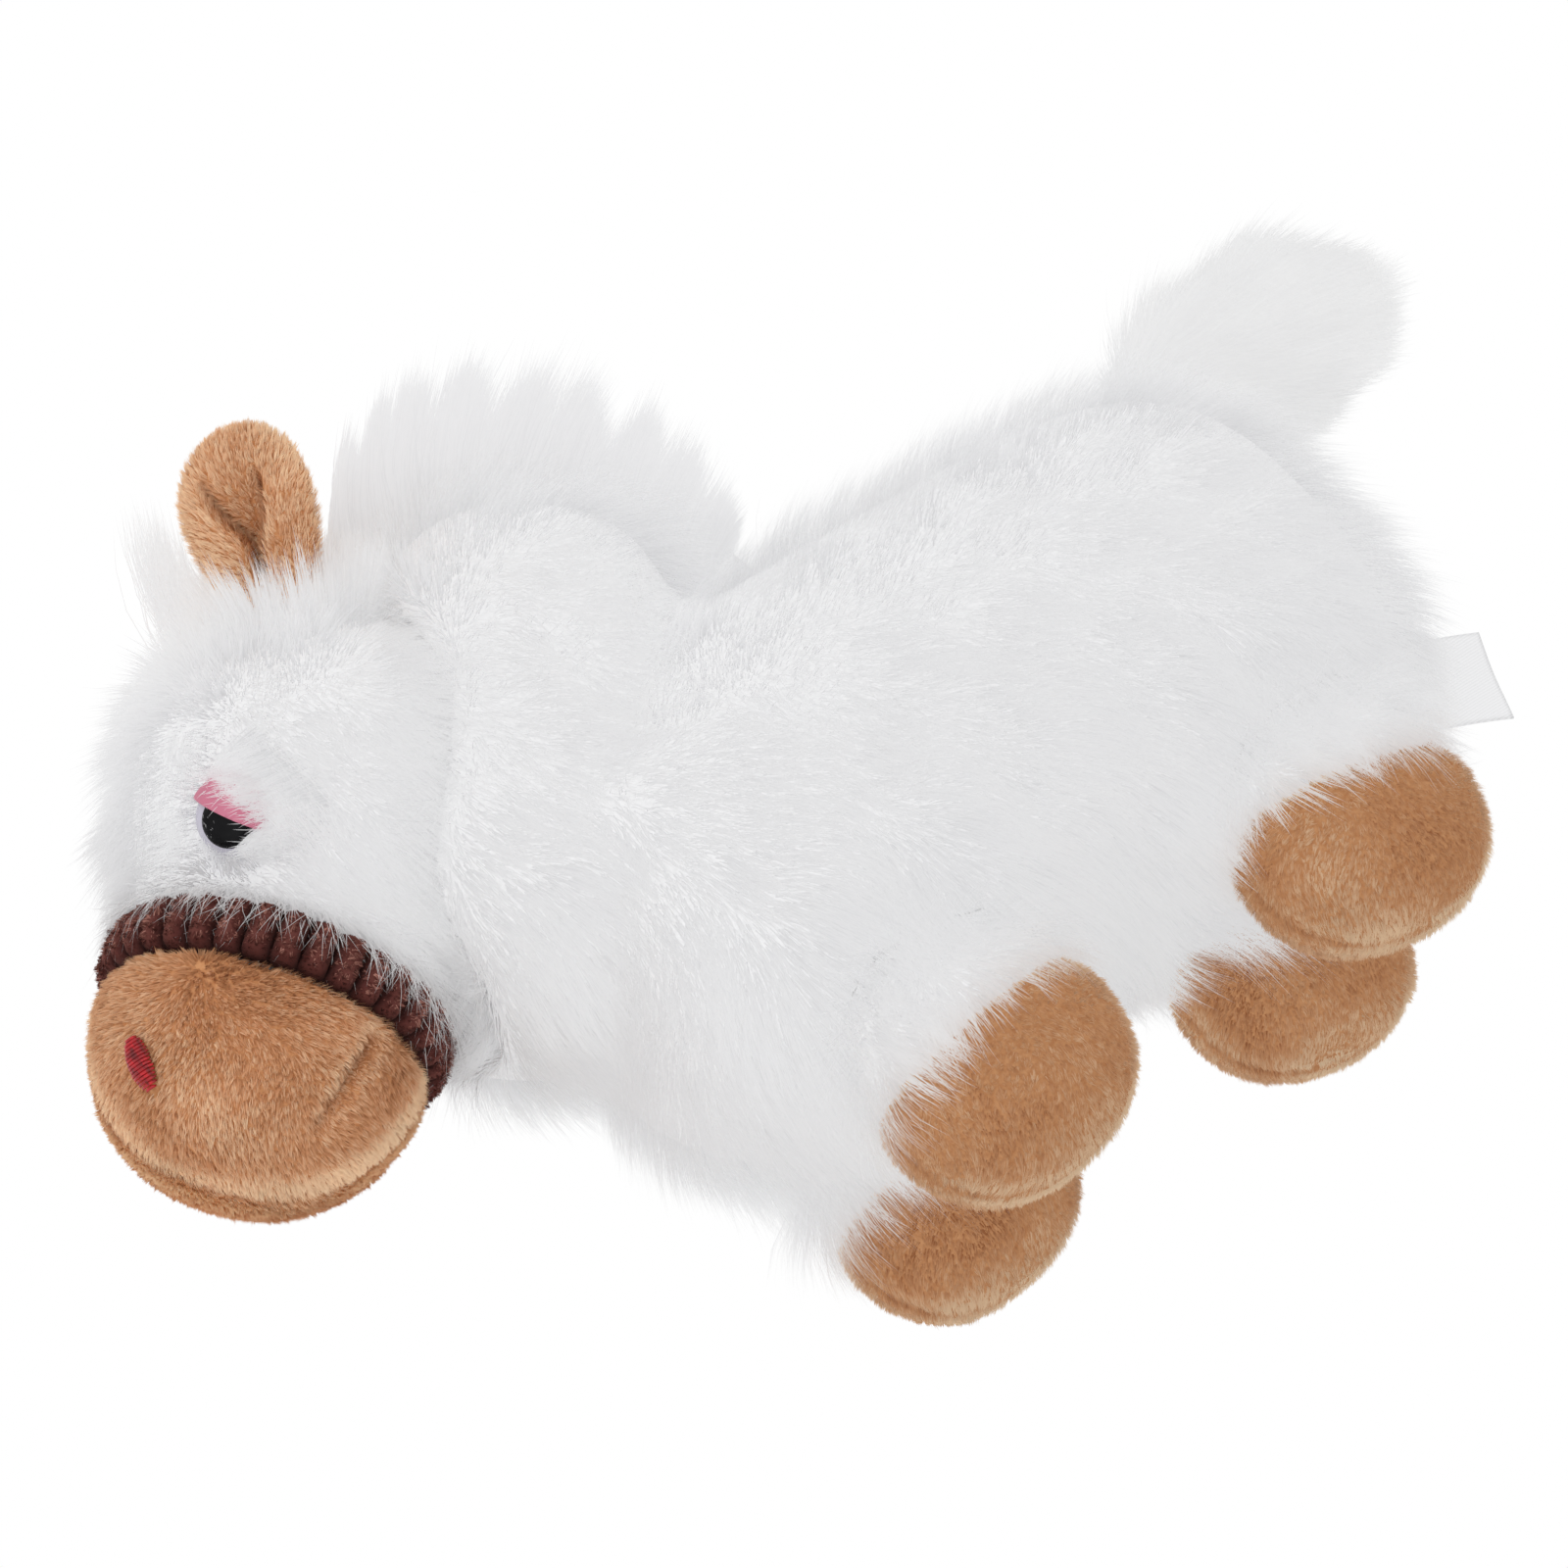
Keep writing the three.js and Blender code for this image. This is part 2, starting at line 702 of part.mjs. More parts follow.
// An ear: two layers, the fold line they turn on and the place of their root
function earPieces(left) {
  const place = seatOn(headForm(), headCentre, direction(earAzimuth, earRise, left));
  const facing = direction(Math.PI / 2 - earFacing, -earOut, left);
  const lean = new THREE.Vector3(0, Math.tan(earBack), 1).normalize();
  const frame = outwardFrame(place, facing, lean);
  const axis = new THREE.Vector3().setFromMatrixColumn(frame, 0);
  const head = headForm(seamGap);
  const room = swept(head, place, axis, [-earSwing, 0, earSwing]);
  const layer = (from, to) => less(solid(earLayer(from, to).applyMatrix4(frame)), room);
  return {
    outer: layer(0, earCloth),
    inner: layer(earCloth + seamGap, earCloth * 2 + seamGap),
    pivot: place,
    axis,
  };
}

// Mane: a fin of long fur that follows the crest of the neck
function maneForm() {
  const fin = solid(swollen({
    centre: neckCentre,
    along: crestward,
    up: headward,
    halves: [neckLength / 2 + maneHeight, maneWidth / 2, neckDepth / 2 + maneHeight],
    endShare: maneRoundShare,
    sideShare: maneRoundShare,
    rings: neckRings,
    around: neckAround,
  }));
  const reach = neckLength + torsoLength;
  const crest = block(
    new THREE.Vector3(-maneWidth, -neckDepth * maneFrontShare, neckLength * maneEndShare),
    new THREE.Vector3(maneWidth, reach, reach),
  ).applyMatrix4(new THREE.Matrix4()
    .makeBasis(sideways, headward.clone().negate(), crestward)
    .setPosition(neckCentre));
  return less(fin.intersect(solid(crest)), solid(neckForm(seamGap)), solid(torsoForm(seamGap)),
    headSpace);
}

function forelockForm() {
  const outward = direction(0, forelockRise);
  const place = seatOn(headForm(), headCentre, outward);
  const form = swollen({
    centre: place,
    along: outward,
    up: new THREE.Vector3().crossVectors(outward, sideways),
    halves: [forelockHeight / 2, forelockWidth / 2, forelockDepth / 2],
    endShare: 1,
    sideShare: 1,
    rings: smallRings,
    around: smallAround,
  });
  return less(solid(form), solid(headForm(seamGap)));
}

// Tail: a brush of long fur sewn on at the top of the rump
function tailPiece() {
  const outward = new THREE.Vector3(0, Math.cos(tailRootTurn), Math.sin(tailRootTurn));
  const pivot = seatOn(torsoForm(), torsoCentre, outward);
  const along = new THREE.Vector3(0, Math.cos(tailDroop), -Math.sin(tailDroop));
  const form = swollen({
    centre: pivot.clone().addScaledVector(along, tailLength / 2 - tailRootSink),
    along,
    up: new THREE.Vector3().crossVectors(sideways, along),
    halves: [tailLength / 2, tailWidth / 2, tailHeight / 2],
    endShare: tailRoundShare,
    sideShare: tailRoundShare,
    rings: smallRings,
    around: smallAround,
  });
  const room = swept(torsoForm(seamGap), pivot, sideways, [-tailUp, 0, tailDown]);
  return { body: less(solid(form), room), pivot };
}

// Care label: a folded ribbon that stands out of the rump seam
function labelPiece() {
  const outward = new THREE.Vector3(0, Math.cos(labelTurn), Math.sin(labelTurn));
  const pivot = seatOn(torsoForm(), torsoCentre, outward);
  const frame = outwardFrame(pivot, outward, upward);
  const axis = new THREE.Vector3().setFromMatrixColumn(frame, 1);
  const ribbon = block(
    new THREE.Vector3(-labelThickness / 2, -labelWidth / 2, -labelSink),
    new THREE.Vector3(labelThickness / 2, labelWidth / 2, labelLength),
  ).applyMatrix4(frame);
  const room = swept(torsoForm(seamGap), pivot, axis, [-labelSwing, 0, labelSwing]);
  return { body: less(solid(ribbon), room), pivot, axis };
}

// A hoof's outer form: widest below its top seam and rounded to a keel under the sole.
// It leans by its tilt, and its keel runs just below the floor, where the sole is cut flat.
function hoofForm(place, tilt, grow = 0, rise = 0) {
  const equator = hoofHeight * hoofEquatorShare;
  const ring = (height, share) => Array.from({ length: hoofAround }, (_, j) => {
    const turn = (2 * Math.PI * j) / hoofAround;
    return new THREE.Vector3(
      place.x + rooted(Math.cos(turn), hoofRoundShare) * share * (hoofWidth / 2 + grow),
      place.y + rooted(Math.sin(turn), hoofRoundShare) * share * (hoofLength / 2 + grow),
      height,
    );
  });
  const topShare = rooted(Math.cos(hoofTopTurn), hoofRoundShare);
  const hoops = [ring(hoofHeight + rise, topShare), ring(equator, 1)];
  for (let i = 1; i <= hoofSteps; i += 1) {
    const theta = (Math.PI / 2) * (i / hoofSteps);
    const height = equator - rooted(Math.sin(theta), hoofRoundShare) * (equator + soleCut + grow);
    const share = i < hoofSteps ? rooted(Math.cos(theta), hoofRoundShare) : 0;
    hoops.push(share > 0 ? ring(height, share) : [new THREE.Vector3(place.x, place.y, height)]);
  }
  const ankle = new THREE.Vector3(place.x, place.y, hoofHeight);
  return turned(loft([middle(hoops[0]), ...hoops]), ankle, sideways, tilt);
}

// One leg: two hoof panels sewn along the keel, their stuffing, and the fur leg above
function legPieces(left, reach, tilt) {
  const place = new THREE.Vector3((left * hoofSpread) / 2, reach, 0);
  const wide = hoofSpread + hoofWidth;
  const ground = solid(block(
    new THREE.Vector3(-wide, reach - hoofLength, -cutOverrun),
    new THREE.Vector3(wide, reach + hoofLength, 0),
  ));
  const inside = solid(hoofForm(place, tilt, -plushWall, seamGap));
  const shell = less(solid(hoofForm(place, tilt)), inside, ground);
  const side = (towards) => {
    const near = place.x + (towards * seamGap) / 2;
    const far = place.x + towards * (hoofWidth + cutOverrun);
    return solid(block(
      new THREE.Vector3(Math.min(near, far), reach - hoofLength, -cutOverrun),
      new THREE.Vector3(Math.max(near, far), reach + hoofLength, hoofHeight + cutOverrun),
    ));
  };
  const pivot = new THREE.Vector3(place.x, reach, hoofHeight + legRise);
  const leg = swollen({
    centre: pivot,
    along: new THREE.Vector3(0, 1, 0),
    up: upward,
    halves: [legLength / 2, legWidth / 2, legHeight / 2],
    endShare: legRoundShare,
    sideShare: legRoundShare,
    rings: legRings,
    around: legAround,
  });
  const hoofRoom = solid(hoofForm(place, tilt, seamGap, seamGap));
  return {
    outer: shell.intersect(side(left)),
    inner: shell.intersect(side(-left)),
    filling: solid(hoofForm(place, tilt, -plushWall - seamGap)),
    leg: less(solid(leg), solid(torsoForm(seamGap)), hoofRoom),
    pivot,
  };
}

// A group that turns about its own origin; its meshes keep the horse's coordinates.
function turningGroup(parent, pivot) {
  const group = new THREE.Group();
  group.userData.pivot = pivot;
  group.position.copy(pivot).sub(parent.userData.pivot);
  parent.add(group);
  return group;
}

function put(group, name, body, material) {
  const mesh = new THREE.Mesh(surface(body), material);
  mesh.name = name;
  mesh.position.copy(group.userData.pivot).negate();
  group.add(mesh);
}

const horse = new THREE.Group();
horse.userData.pivot = new THREE.Vector3();

function addTorso() {
  const panels = coverPanels();
  put(horse, 'body_cover_left', panels.left, fur);
  put(horse, 'body_cover_right', panels.right, fur);
  put(horse, 'belly_gusset', panels.gusset, fur);
  const core = furWall + seamGap;
  const torsoFilling = less(solid(torsoForm(-core)), headSpace);
  put(horse, 'torso_stuffing', torsoFilling, stuffing);
  const neckFilling = less(solid(neckForm(-core)), solid(torsoForm(seamGap - core)), headSpace);
  put(horse, 'neck_stuffing', neckFilling, stuffing);
  put(horse, 'mane', maneForm(), fur);
}

function addHead() {
  const head = turningGroup(horse, headCentre);
  const eyes = { left: eyePieces(1), right: eyePieces(-1) };
  const pieces = headPieces(Object.values(eyes));
  put(head, 'head_cover_left', pieces.coverLeft, fur);
  put(head, 'head_cover_right', pieces.coverRight, fur);
  put(head, 'head_stuffing', pieces.filling, stuffing);
  put(head, 'muzzle_left', pieces.muzzleLeft, plush);
  put(head, 'muzzle_right', pieces.muzzleRight, plush);
  put(head, 'noseband', pieces.band, corduroy);
  put(head, 'forelock', forelockForm(), fur);
  for (const [side, left] of [['left', 1], ['right', -1]]) {
    const eye = eyes[side];
    put(head, `eye_${side}`, eye.shell, eyeShell);
    put(head, `pupil_${side}`, eye.pupil, pupilBlack);
    put(head, `eyelid_${side}`, eye.lid, lidPlastic);
    put(head, `eye_washer_${side}`, eye.washer, washerPlastic);
    put(head, `nostril_${side}`, nostril(left), thread);
    const ear = earPieces(left);
    const folding = turningGroup(head, ear.pivot);
    put(folding, `ear_back_${side}`, ear.outer, plush);
    put(folding, `ear_front_${side}`, ear.inner, plush);
  }
}

function addTail() {
  const tail = tailPiece();
  put(turningGroup(horse, tail.pivot), 'tail', tail.body, fur);
  const label = labelPiece();
  put(turningGroup(horse, label.pivot), 'care_label', label.body, labelCloth);
}

function addLegs() {
  const ends = [['front', -frontHoofReach, frontHoofTilt], ['rear', rearHoofReach, rearHoofTilt]];
  for (const [end, reach, tilt] of ends) {
    for (const [side, left] of [['left', 1], ['right', -1]]) {
      const pieces = legPieces(left, reach, tilt);
      const swing = turningGroup(horse, pieces.pivot);
      put(horse, `leg_fur_${end}_${side}`, pieces.leg, fur);
      put(swing, `hoof_outer_${end}_${side}`, pieces.outer, plush);
      put(swing, `hoof_inner_${end}_${side}`, pieces.inner, plush);
      put(swing, `hoof_stuffing_${end}_${side}`, pieces.filling, stuffing);
    }
  }
}

addTorso();
addHead();
addTail();
addLegs();

// The origin lies on the floor under the middle of the whole horse.
horse.updateMatrixWorld(true);
const extent = new THREE.Box3().setFromObject(horse, true);
const middleOf = extent.getCenter(new THREE.Vector3());
horse.position.set(-middleOf.x, -middleOf.y, -extent.min.z);

export default horse;
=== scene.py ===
# Plush horse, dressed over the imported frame. Metres, in the frame of the CAD.
import json
import math

import bmesh
import bpy
import numpy as np
from mathutils import Matrix, Vector
from mathutils.bvhtree import BVHTree
from mathutils.kdtree import KDTree


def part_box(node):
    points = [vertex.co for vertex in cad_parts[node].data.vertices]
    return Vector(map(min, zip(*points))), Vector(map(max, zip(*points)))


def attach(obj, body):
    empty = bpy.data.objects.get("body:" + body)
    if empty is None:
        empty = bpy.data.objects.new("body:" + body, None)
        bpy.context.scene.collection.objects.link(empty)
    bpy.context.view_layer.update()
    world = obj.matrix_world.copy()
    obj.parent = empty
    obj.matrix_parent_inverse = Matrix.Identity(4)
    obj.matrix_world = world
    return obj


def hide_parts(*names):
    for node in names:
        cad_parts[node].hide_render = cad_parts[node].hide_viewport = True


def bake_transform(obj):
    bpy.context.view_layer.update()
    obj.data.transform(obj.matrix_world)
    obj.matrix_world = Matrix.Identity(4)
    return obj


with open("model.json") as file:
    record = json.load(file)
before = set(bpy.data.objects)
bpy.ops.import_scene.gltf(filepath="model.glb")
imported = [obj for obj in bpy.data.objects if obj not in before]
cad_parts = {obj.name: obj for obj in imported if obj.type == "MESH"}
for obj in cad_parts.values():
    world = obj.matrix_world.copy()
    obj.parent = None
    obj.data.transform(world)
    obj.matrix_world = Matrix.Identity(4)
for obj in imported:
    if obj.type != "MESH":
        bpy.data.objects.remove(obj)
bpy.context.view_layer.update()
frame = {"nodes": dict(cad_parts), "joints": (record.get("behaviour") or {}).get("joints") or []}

MM = 0.001
SIDES = {"left": 1, "right": -1}
LEGS = [f"{end}_{side}" for end in ("front", "rear") for side in SIDES]
chance = np.random.default_rng(11)
radians = math.radians

# Camera of the photograph
CAMERA_TARGET = Vector((0, -17.88, 107.2)) * MM
CAMERA_BACK = Vector((0.852, -0.397, -0.342)).normalized()
CAMERA_RIGHT = Vector((0.124, 0.786, -0.605))
CAMERA_DISTANCE = 750 * MM
PHOTO_FOCAL_SHARE = 3750 / 1600

# Lamps: each one's place and size in metres, and its watts
LAMPS = {
    "key": ((0.93, -0.15, 0.72), 0.9, 1.1),
    "low": ((0.95, -0.5, 0.3), 0.6, 0.9),
    "under": ((0.25, -0.85, -0.55), 0.8, 0.9),
    "fill": ((-0.85, -0.7, 0.6), 0.9, 1.6),
    "back": ((-0.2, 0.95, 0.75), 0.9, 1.6),
}
WORLD_LEVEL = 0.9
FLOOR_HALF = 1.2
FLOOR_FADE = (0.4, 0.9)

# Strands
FUR_WIDTH = 0.27 * MM
LONG_WIDTH = 0.28 * MM
LOOSE_WIDTH = 0.24 * MM
STRAND_SINK = 1.0 * MM
WANDER_LENGTH = 24 * MM
LEAN_LENGTH = 17 * MM
PATCH_LENGTH = 26 * MM
WIDEST = 60.5 * MM
ROUND_SHARE = 0.8

# Depths of the materials' bumps
KNIT_BUMP = 0.4 * MM
CORDUROY_BUMP = 0.5 * MM
THREAD_BUMP = 0.1 * MM
RIBBON_BUMP = 0.08 * MM


def linear(*colour):
    """An sRGB colour of 0 to 255 as Blender's linear colour."""
    shares = [value / 255 for value in colour]
    return (*(v / 12.92 if v <= 0.04045 else ((v + 0.055) / 1.055) ** 2.4 for v in shares), 1.0)


def listed(items, name, width=3, kind=np.float32):
    """One property of all a mesh's items, as rows."""
    values = np.empty(len(items) * width, kind)
    items.foreach_get(name, values)
    return values.reshape(-1, width)


def coordinates(mesh):
    return listed(mesh.vertices, "co").astype(float)


def smooth_normals(mesh):
    return listed(mesh.vertex_normals, "vector").astype(float)


def place_vertices(mesh, points):
    mesh.vertices.foreach_set("co", np.asarray(points, np.float32).ravel())
    mesh.update()


def triangles(mesh):
    mesh.calc_loop_triangles()
    return listed(mesh.loop_triangles, "vertices", kind=np.int32)


def node_points(name):
    return coordinates(frame["nodes"][name].data)


def lengths(vectors):
    return np.linalg.norm(vectors, axis=1)


def unit(vectors):
    vectors = np.asarray(vectors, float)
    return vectors / np.maximum(np.linalg.norm(vectors, axis=-1, keepdims=True), 1e-12)


def stacked(*columns):
    """Points from their x, y and z, each one number or many."""
    return np.stack(np.broadcast_arrays(*columns), 1)


def main_ways(points):
    """The three ways in which points spread, as rows with the widest first."""
    return np.linalg.svd(points - points.mean(0), full_matrices=False)[2]


def circle(around):
    return np.arange(around) / around * 2 * math.pi


def smoothstep(low, high, values):
    share = np.clip((np.asarray(values, float) - low) / (high - low), 0, 1)
    return share * share * (3 - 2 * share)


def bell(values, width):
    """1 at zero, and near nothing at twice the width."""
    return np.exp(-((values / width) ** 2))


def at(places, setting):
    """A setting that is one value, or a function of places."""
    return setting(places) if callable(setting) else setting


def build(name, points, sizes, corners, paint):
    """A mesh object from its points, each face's corner count and the corners in order."""
    mesh = bpy.data.meshes.new(name)
    sizes = np.asarray(sizes, np.int32)
    mesh.vertices.add(len(points))
    mesh.vertices.foreach_set("co", np.asarray(points, np.float32).ravel())
    mesh.loops.add(len(corners))
    mesh.loops.foreach_set("vertex_index", np.asarray(corners, np.int32))
    mesh.polygons.add(len(sizes))
    starts = np.concatenate([[0], np.cumsum(sizes)[:-1]])
    mesh.polygons.foreach_set("loop_start", starts.astype(np.int32))
    mesh.update(calc_edges=True)
    mesh.shade_smooth()
    mesh.materials.append(paint)
    piece = bpy.data.objects.new(name, mesh)
    bpy.context.scene.collection.objects.link(piece)
    return piece


def build_faces(name, points, faces, paint):
    """A mesh object from its points and its faces."""
    return build(name, points, [len(face) for face in faces], [v for face in faces for v in face], paint)


def grid_faces(rows, columns, closed):
    """Corners of the quads between rows of points; closed joins the last column to the first."""
    reach = columns if closed else columns - 1
    i, j = np.meshgrid(np.arange(rows - 1), np.arange(reach), indexing="ij")
    after = (j + 1) % columns
    quads = [i * columns + j, i * columns + after, (i + 1) * columns + after, (i + 1) * columns + j]
    return np.stack(quads, -1).reshape(-1, 4)


def tube_faces(rows, around):
    """Faces of a tube with closed ends."""
    ends = [list(range(around))[::-1], [(rows - 1) * around + j for j in range(around)]]
    return grid_faces(rows, around, closed=True).tolist() + ends


def give_shade(piece, values):
    """Each point's own shade, which its material reads."""
    shade = piece.data.attributes.new("shade", "FLOAT", "POINT")
    shade.data.foreach_set("value", np.asarray(values, np.float32).ravel())


def face_outward(piece, middle):
    """Turns a closed piece's faces outward."""
    if (smooth_normals(piece.data) * (coordinates(piece.data) - middle)).sum() < 0:
        piece.data.flip_normals()


def baked(piece):
    """Applies a piece's modifiers to its mesh."""
    bpy.context.view_layer.update()
    evaluated = piece.evaluated_get(bpy.context.evaluated_depsgraph_get())
    mesh = bpy.data.meshes.new_from_object(evaluated)
    piece.modifiers.clear()
    piece.data = mesh


def modified(piece, kind, **settings):
    """Bakes one modifier into a piece."""
    modifier = piece.modifiers.new("shaped", kind)
    for name, value in settings.items():
        setattr(modifier, name, value)
    baked(piece)


def largest_part(mesh):
    """Which vertices lie on the mesh's largest connected part."""
    starts, ends = listed(mesh.edges, "vertices", 2, np.int32).T
    labels = np.arange(len(mesh.vertices))
    while True:
        lowest = np.minimum(labels[starts], labels[ends])
        fresh = labels.copy()
        np.minimum.at(fresh, starts, lowest)
        np.minimum.at(fresh, ends, lowest)
        fresh = fresh[fresh]
        if np.array_equal(fresh, labels):
            break
        labels = fresh
    names, members = np.unique(labels, return_counts=True)
    return labels == names[members.argmax()]


def skin(name, nodes, voxel, rounds, inset, paint):
    """One smooth closed skin round several CAD nodes. inset is a length or a function of points."""
    points, corners, start = [], [], 0
    for node in nodes:
        mesh = frame["nodes"][node].data
        points.append(coordinates(mesh))
        corners.append(triangles(mesh) + start)
        start += len(mesh.vertices)
    raw = build_faces(name + "_raw", np.concatenate(points), np.concatenate(corners), paint)
    modified(raw, "REMESH", mode="VOXEL", voxel_size=voxel)
    keep = largest_part(raw.data)
    index = np.cumsum(keep) - 1
    points = coordinates(raw.data)[keep]
    faces = [[index[v] for v in face.vertices] for face in raw.data.polygons if keep[face.vertices[0]]]
    bpy.data.objects.remove(raw)
    piece = build_faces(name, points, faces, paint)
    modified(piece, "SMOOTH", factor=0.5, iterations=rounds)
    points = coordinates(piece.data)
    depth = np.broadcast_to(at(points, inset), len(points))
    place_vertices(piece.data, points - smooth_normals(piece.data) * depth[:, None])
    piece.data.shade_smooth()
    return piece


# Materials
def feed(socket, value):
    """Gives an input its value, or links it to another node's output."""
    if isinstance(value, bpy.types.NodeSocket):
        socket.id_data.links.new(value, socket)
    else:
        socket.default_value = value


def shader_node(tree, kind, inputs=(), **settings):
    """A new shader node with its inputs fed and its settings made."""
    made = tree.nodes.new("ShaderNode" + kind)
    for name, value in settings.items():
        setattr(made, name, value)
    for name, value in dict(inputs).items():
        feed(made.inputs[name], value)
    return made


def material(name, colour, roughness, specular=0.5, sheen=None):
    """A new material and its node tree. sheen is a weight and a tint."""
    made = bpy.data.materials.new(name)
    made.use_nodes = True
    inputs = {"Base Color": linear(*colour), "Roughness": roughness, "Specular IOR Level": specular}
    if sheen:
        inputs |= {"Sheen Weight": sheen[0], "Sheen Roughness": 0.5, "Sheen Tint": linear(*sheen[1])}
    for name, value in inputs.items():
        feed(made.node_tree.nodes["Principled BSDF"].inputs[name], value)
    return made, made.node_tree


def object_place(tree):
    """Places in the piece's own coordinates."""
    return shader_node(tree, "TexCoord").outputs["Object"]


def noise(tree, scale, detail, stretch=(1, 1, 1)):
    mapping = shader_node(tree, "Mapping", {"Vector": object_place(tree), "Scale": stretch})
    inputs = {"Vector": mapping.outputs["Vector"], "Scale": scale, "Detail": detail}
    return shader_node(tree, "TexNoise", inputs).outputs["Fac"]


def shade_of(tree):
    """The piece's own shade values."""
    return shader_node(tree, "Attribute", attribute_name="shade").outputs["Fac"]


def varied(tree, factor, *stops):
    """Colours the shader by a ramp over a factor. A stop is a place and an sRGB or linear colour."""
    ramp = shader_node(tree, "ValToRGB", {"Fac": factor})
    elements = ramp.color_ramp.elements
    for i, (position, colour) in enumerate(stops):
        element = elements[i] if i < 2 else elements.new(position)
        element.position = position
        element.color = colour if len(colour) == 4 else linear(*colour)
    feed(tree.nodes["Principled BSDF"].inputs["Base Color"], ramp.outputs["Color"])
    return ramp.outputs["Color"]


def bumped(tree, height, distance, strength):
    bump = shader_node(tree, "Bump", {"Height": height, "Distance": distance, "Strength": strength})
    feed(tree.nodes["Principled BSDF"].inputs["Normal"], bump.outputs["Normal"])


def covered(tree, fraction, cover):
    """Mixes the shader with a cover of it."""
    below = tree.nodes["Principled BSDF"].outputs["BSDF"]
    mixed = shader_node(tree, "MixShader", {0: fraction, 1: below, 2: cover.outputs["BSDF"]})
    feed(tree.nodes["Material Output"].inputs["Surface"], mixed.outputs["Shader"])


def pile_material(name, dark, middle, light, sheen, through):
    """Strands take their colour from each strand's own shade value: random tone with painted shade and
    painted highlights. Some light passes through them.
    """
    made, tree = material(name, middle, 0.85, 0.05, (sheen, light))
    colour = varied(tree, shade_of(tree), (0.0, dark), (1.0, light), (0.5, middle))
    covered(tree, through, shader_node(tree, "BsdfTranslucent", {"Color": colour}))
    return made


def backing_material(name, dark, light):
    """The knitted ground under a pile."""
    made, tree = material(name, dark, 0.95, 0.1)
    texture = noise(tree, 900, 3)
    varied(tree, texture, (0.3, dark), (0.7, light))
    bumped(tree, texture, KNIT_BUMP, 0.6)
    return made


def corduroy_material():
    """Cut wales, with painted shade: the colour is darkest in the grooves between them."""
    made, tree = material("brown_corduroy", (88, 47, 41), 0.9, 0.1, (0.3, (170, 120, 110)))
    varied(tree, shade_of(tree), (0.0, (30, 14, 13)), (1.0, (124, 74, 66)), (0.45, (84, 44, 40)))
    bumped(tree, noise(tree, 1500, 4), CORDUROY_BUMP, 0.7)
    return made


def gloss_material(name, colour, roughness, spread, shine=0.5):
    """Moulded plastic with a faint cloudiness in its colour."""
    made, tree = material(name, colour, roughness, shine)
    paler = tuple(min(1.0, value * (1 + spread) + spread * 0.02) for value in linear(*colour)[:3])
    varied(tree, noise(tree, 300, 2), (0.35, colour), (0.75, (*paler, 1.0)))
    return made


def thread_material():
    made, tree = material("red_thread", (160, 22, 28), 0.45, sheen=(0.1, (220, 60, 65)))
    texture = noise(tree, 1300, 2, (1, 1, 0.3))
    varied(tree, texture, (0.35, (104, 4, 10)), (0.65, (192, 18, 30)))
    bumped(tree, texture, THREAD_BUMP, 0.5)
    return made


def ribbon_material():
    """A smooth woven label ribbon, with fine ribs across it."""
    made, tree = material("label_ribbon", (232, 232, 233), 0.55)
    inputs = {"Vector": object_place(tree), "Scale": 500, "Distortion": 0.6}
    ribs = shader_node(tree, "TexWave", inputs, bands_direction="Z").outputs["Fac"]
    varied(tree, ribs, (0.0, (232, 232, 233)), (1.0, (240, 240, 241)))
    bumped(tree, ribs, RIBBON_BUMP, 0.4)
    return made


white_pile = pile_material("white_pile", (220, 220, 221), (235, 235, 236), (240, 240, 240), 0.0, 0.5)
white_backing = backing_material("white_backing", (228, 228, 229), (238, 238, 239))
tan_pile = pile_material("tan_pile", (168, 104, 62), (226, 170, 125), (255, 226, 190), 0.6, 0.3)
tan_backing = backing_material("tan_backing", (188, 128, 84), (214, 158, 112))
hoof_pile = pile_material("hoof_pile", (148, 90, 53), (198, 148, 108), (225, 196, 163), 0.6, 0.3)
hoof_backing = backing_material("hoof_backing", (165, 111, 72), (188, 137, 96))
corduroy = corduroy_material()
corduroy_nap = pile_material("corduroy_nap", (26, 10, 9), (92, 47, 42), (192, 136, 122), 0.3, 0.2)
eye_gloss = gloss_material("eye_gloss", (186, 183, 196), 0.14, 0.05)
pupil_gloss = gloss_material("pupil_gloss", (6, 6, 8), 0.1, 0.3, 0.1)
lid_gloss = gloss_material("lid_gloss", (192, 112, 134), 0.4, 0.12, 0.3)
washer_plastic = gloss_material("washer_plastic", (214, 217, 220), 0.4, 0.04)
red_thread = thread_material()
ribbon = ribbon_material()


# Pile
def scattered(mesh, count, weight=None):
    """Random places on a mesh with their smooth normals, thinned by a weight of 0 to 1."""
    points, normals, corners = coordinates(mesh), smooth_normals(mesh), triangles(mesh)
    a, b, c = (points[corners[:, k]] for k in range(3))
    square = np.cross(b - a, c - a)
    area = lengths(square)
    if weight is not None:
        area = area * weight((a + b + c) / 3, unit(square))
    chosen = chance.choice(len(corners), count, p=area / area.sum())
    u, v = chance.random((2, count))
    over = u + v > 1
    u[over], v[over] = 1 - u[over], 1 - v[over]
    shares = np.stack([1 - u - v, u, v], 1)[:, :, None]
    return (points[corners[chosen]] * shares).sum(1), unit((normals[corners[chosen]] * shares).sum(1))


def waves(points, length, seed):
    """Smooth values of about -1 to 1 that change over about the given length."""
    source = np.random.default_rng(seed)
    total = np.zeros(len(points))
    for _ in range(6):
        way = unit(source.normal(size=3))
        turn = points @ way * (2 * math.pi / length) * source.uniform(0.7, 1.4)
        total += np.sin(turn + source.uniform(0, 2 * math.pi))
    return total / 6 * 1.8


def nearest(places, guides):
    tree = KDTree(len(guides))
    for i, place in enumerate(guides):
        tree.insert(place, i)
    tree.balance()
    return np.array([tree.find(place)[1] for place in places])


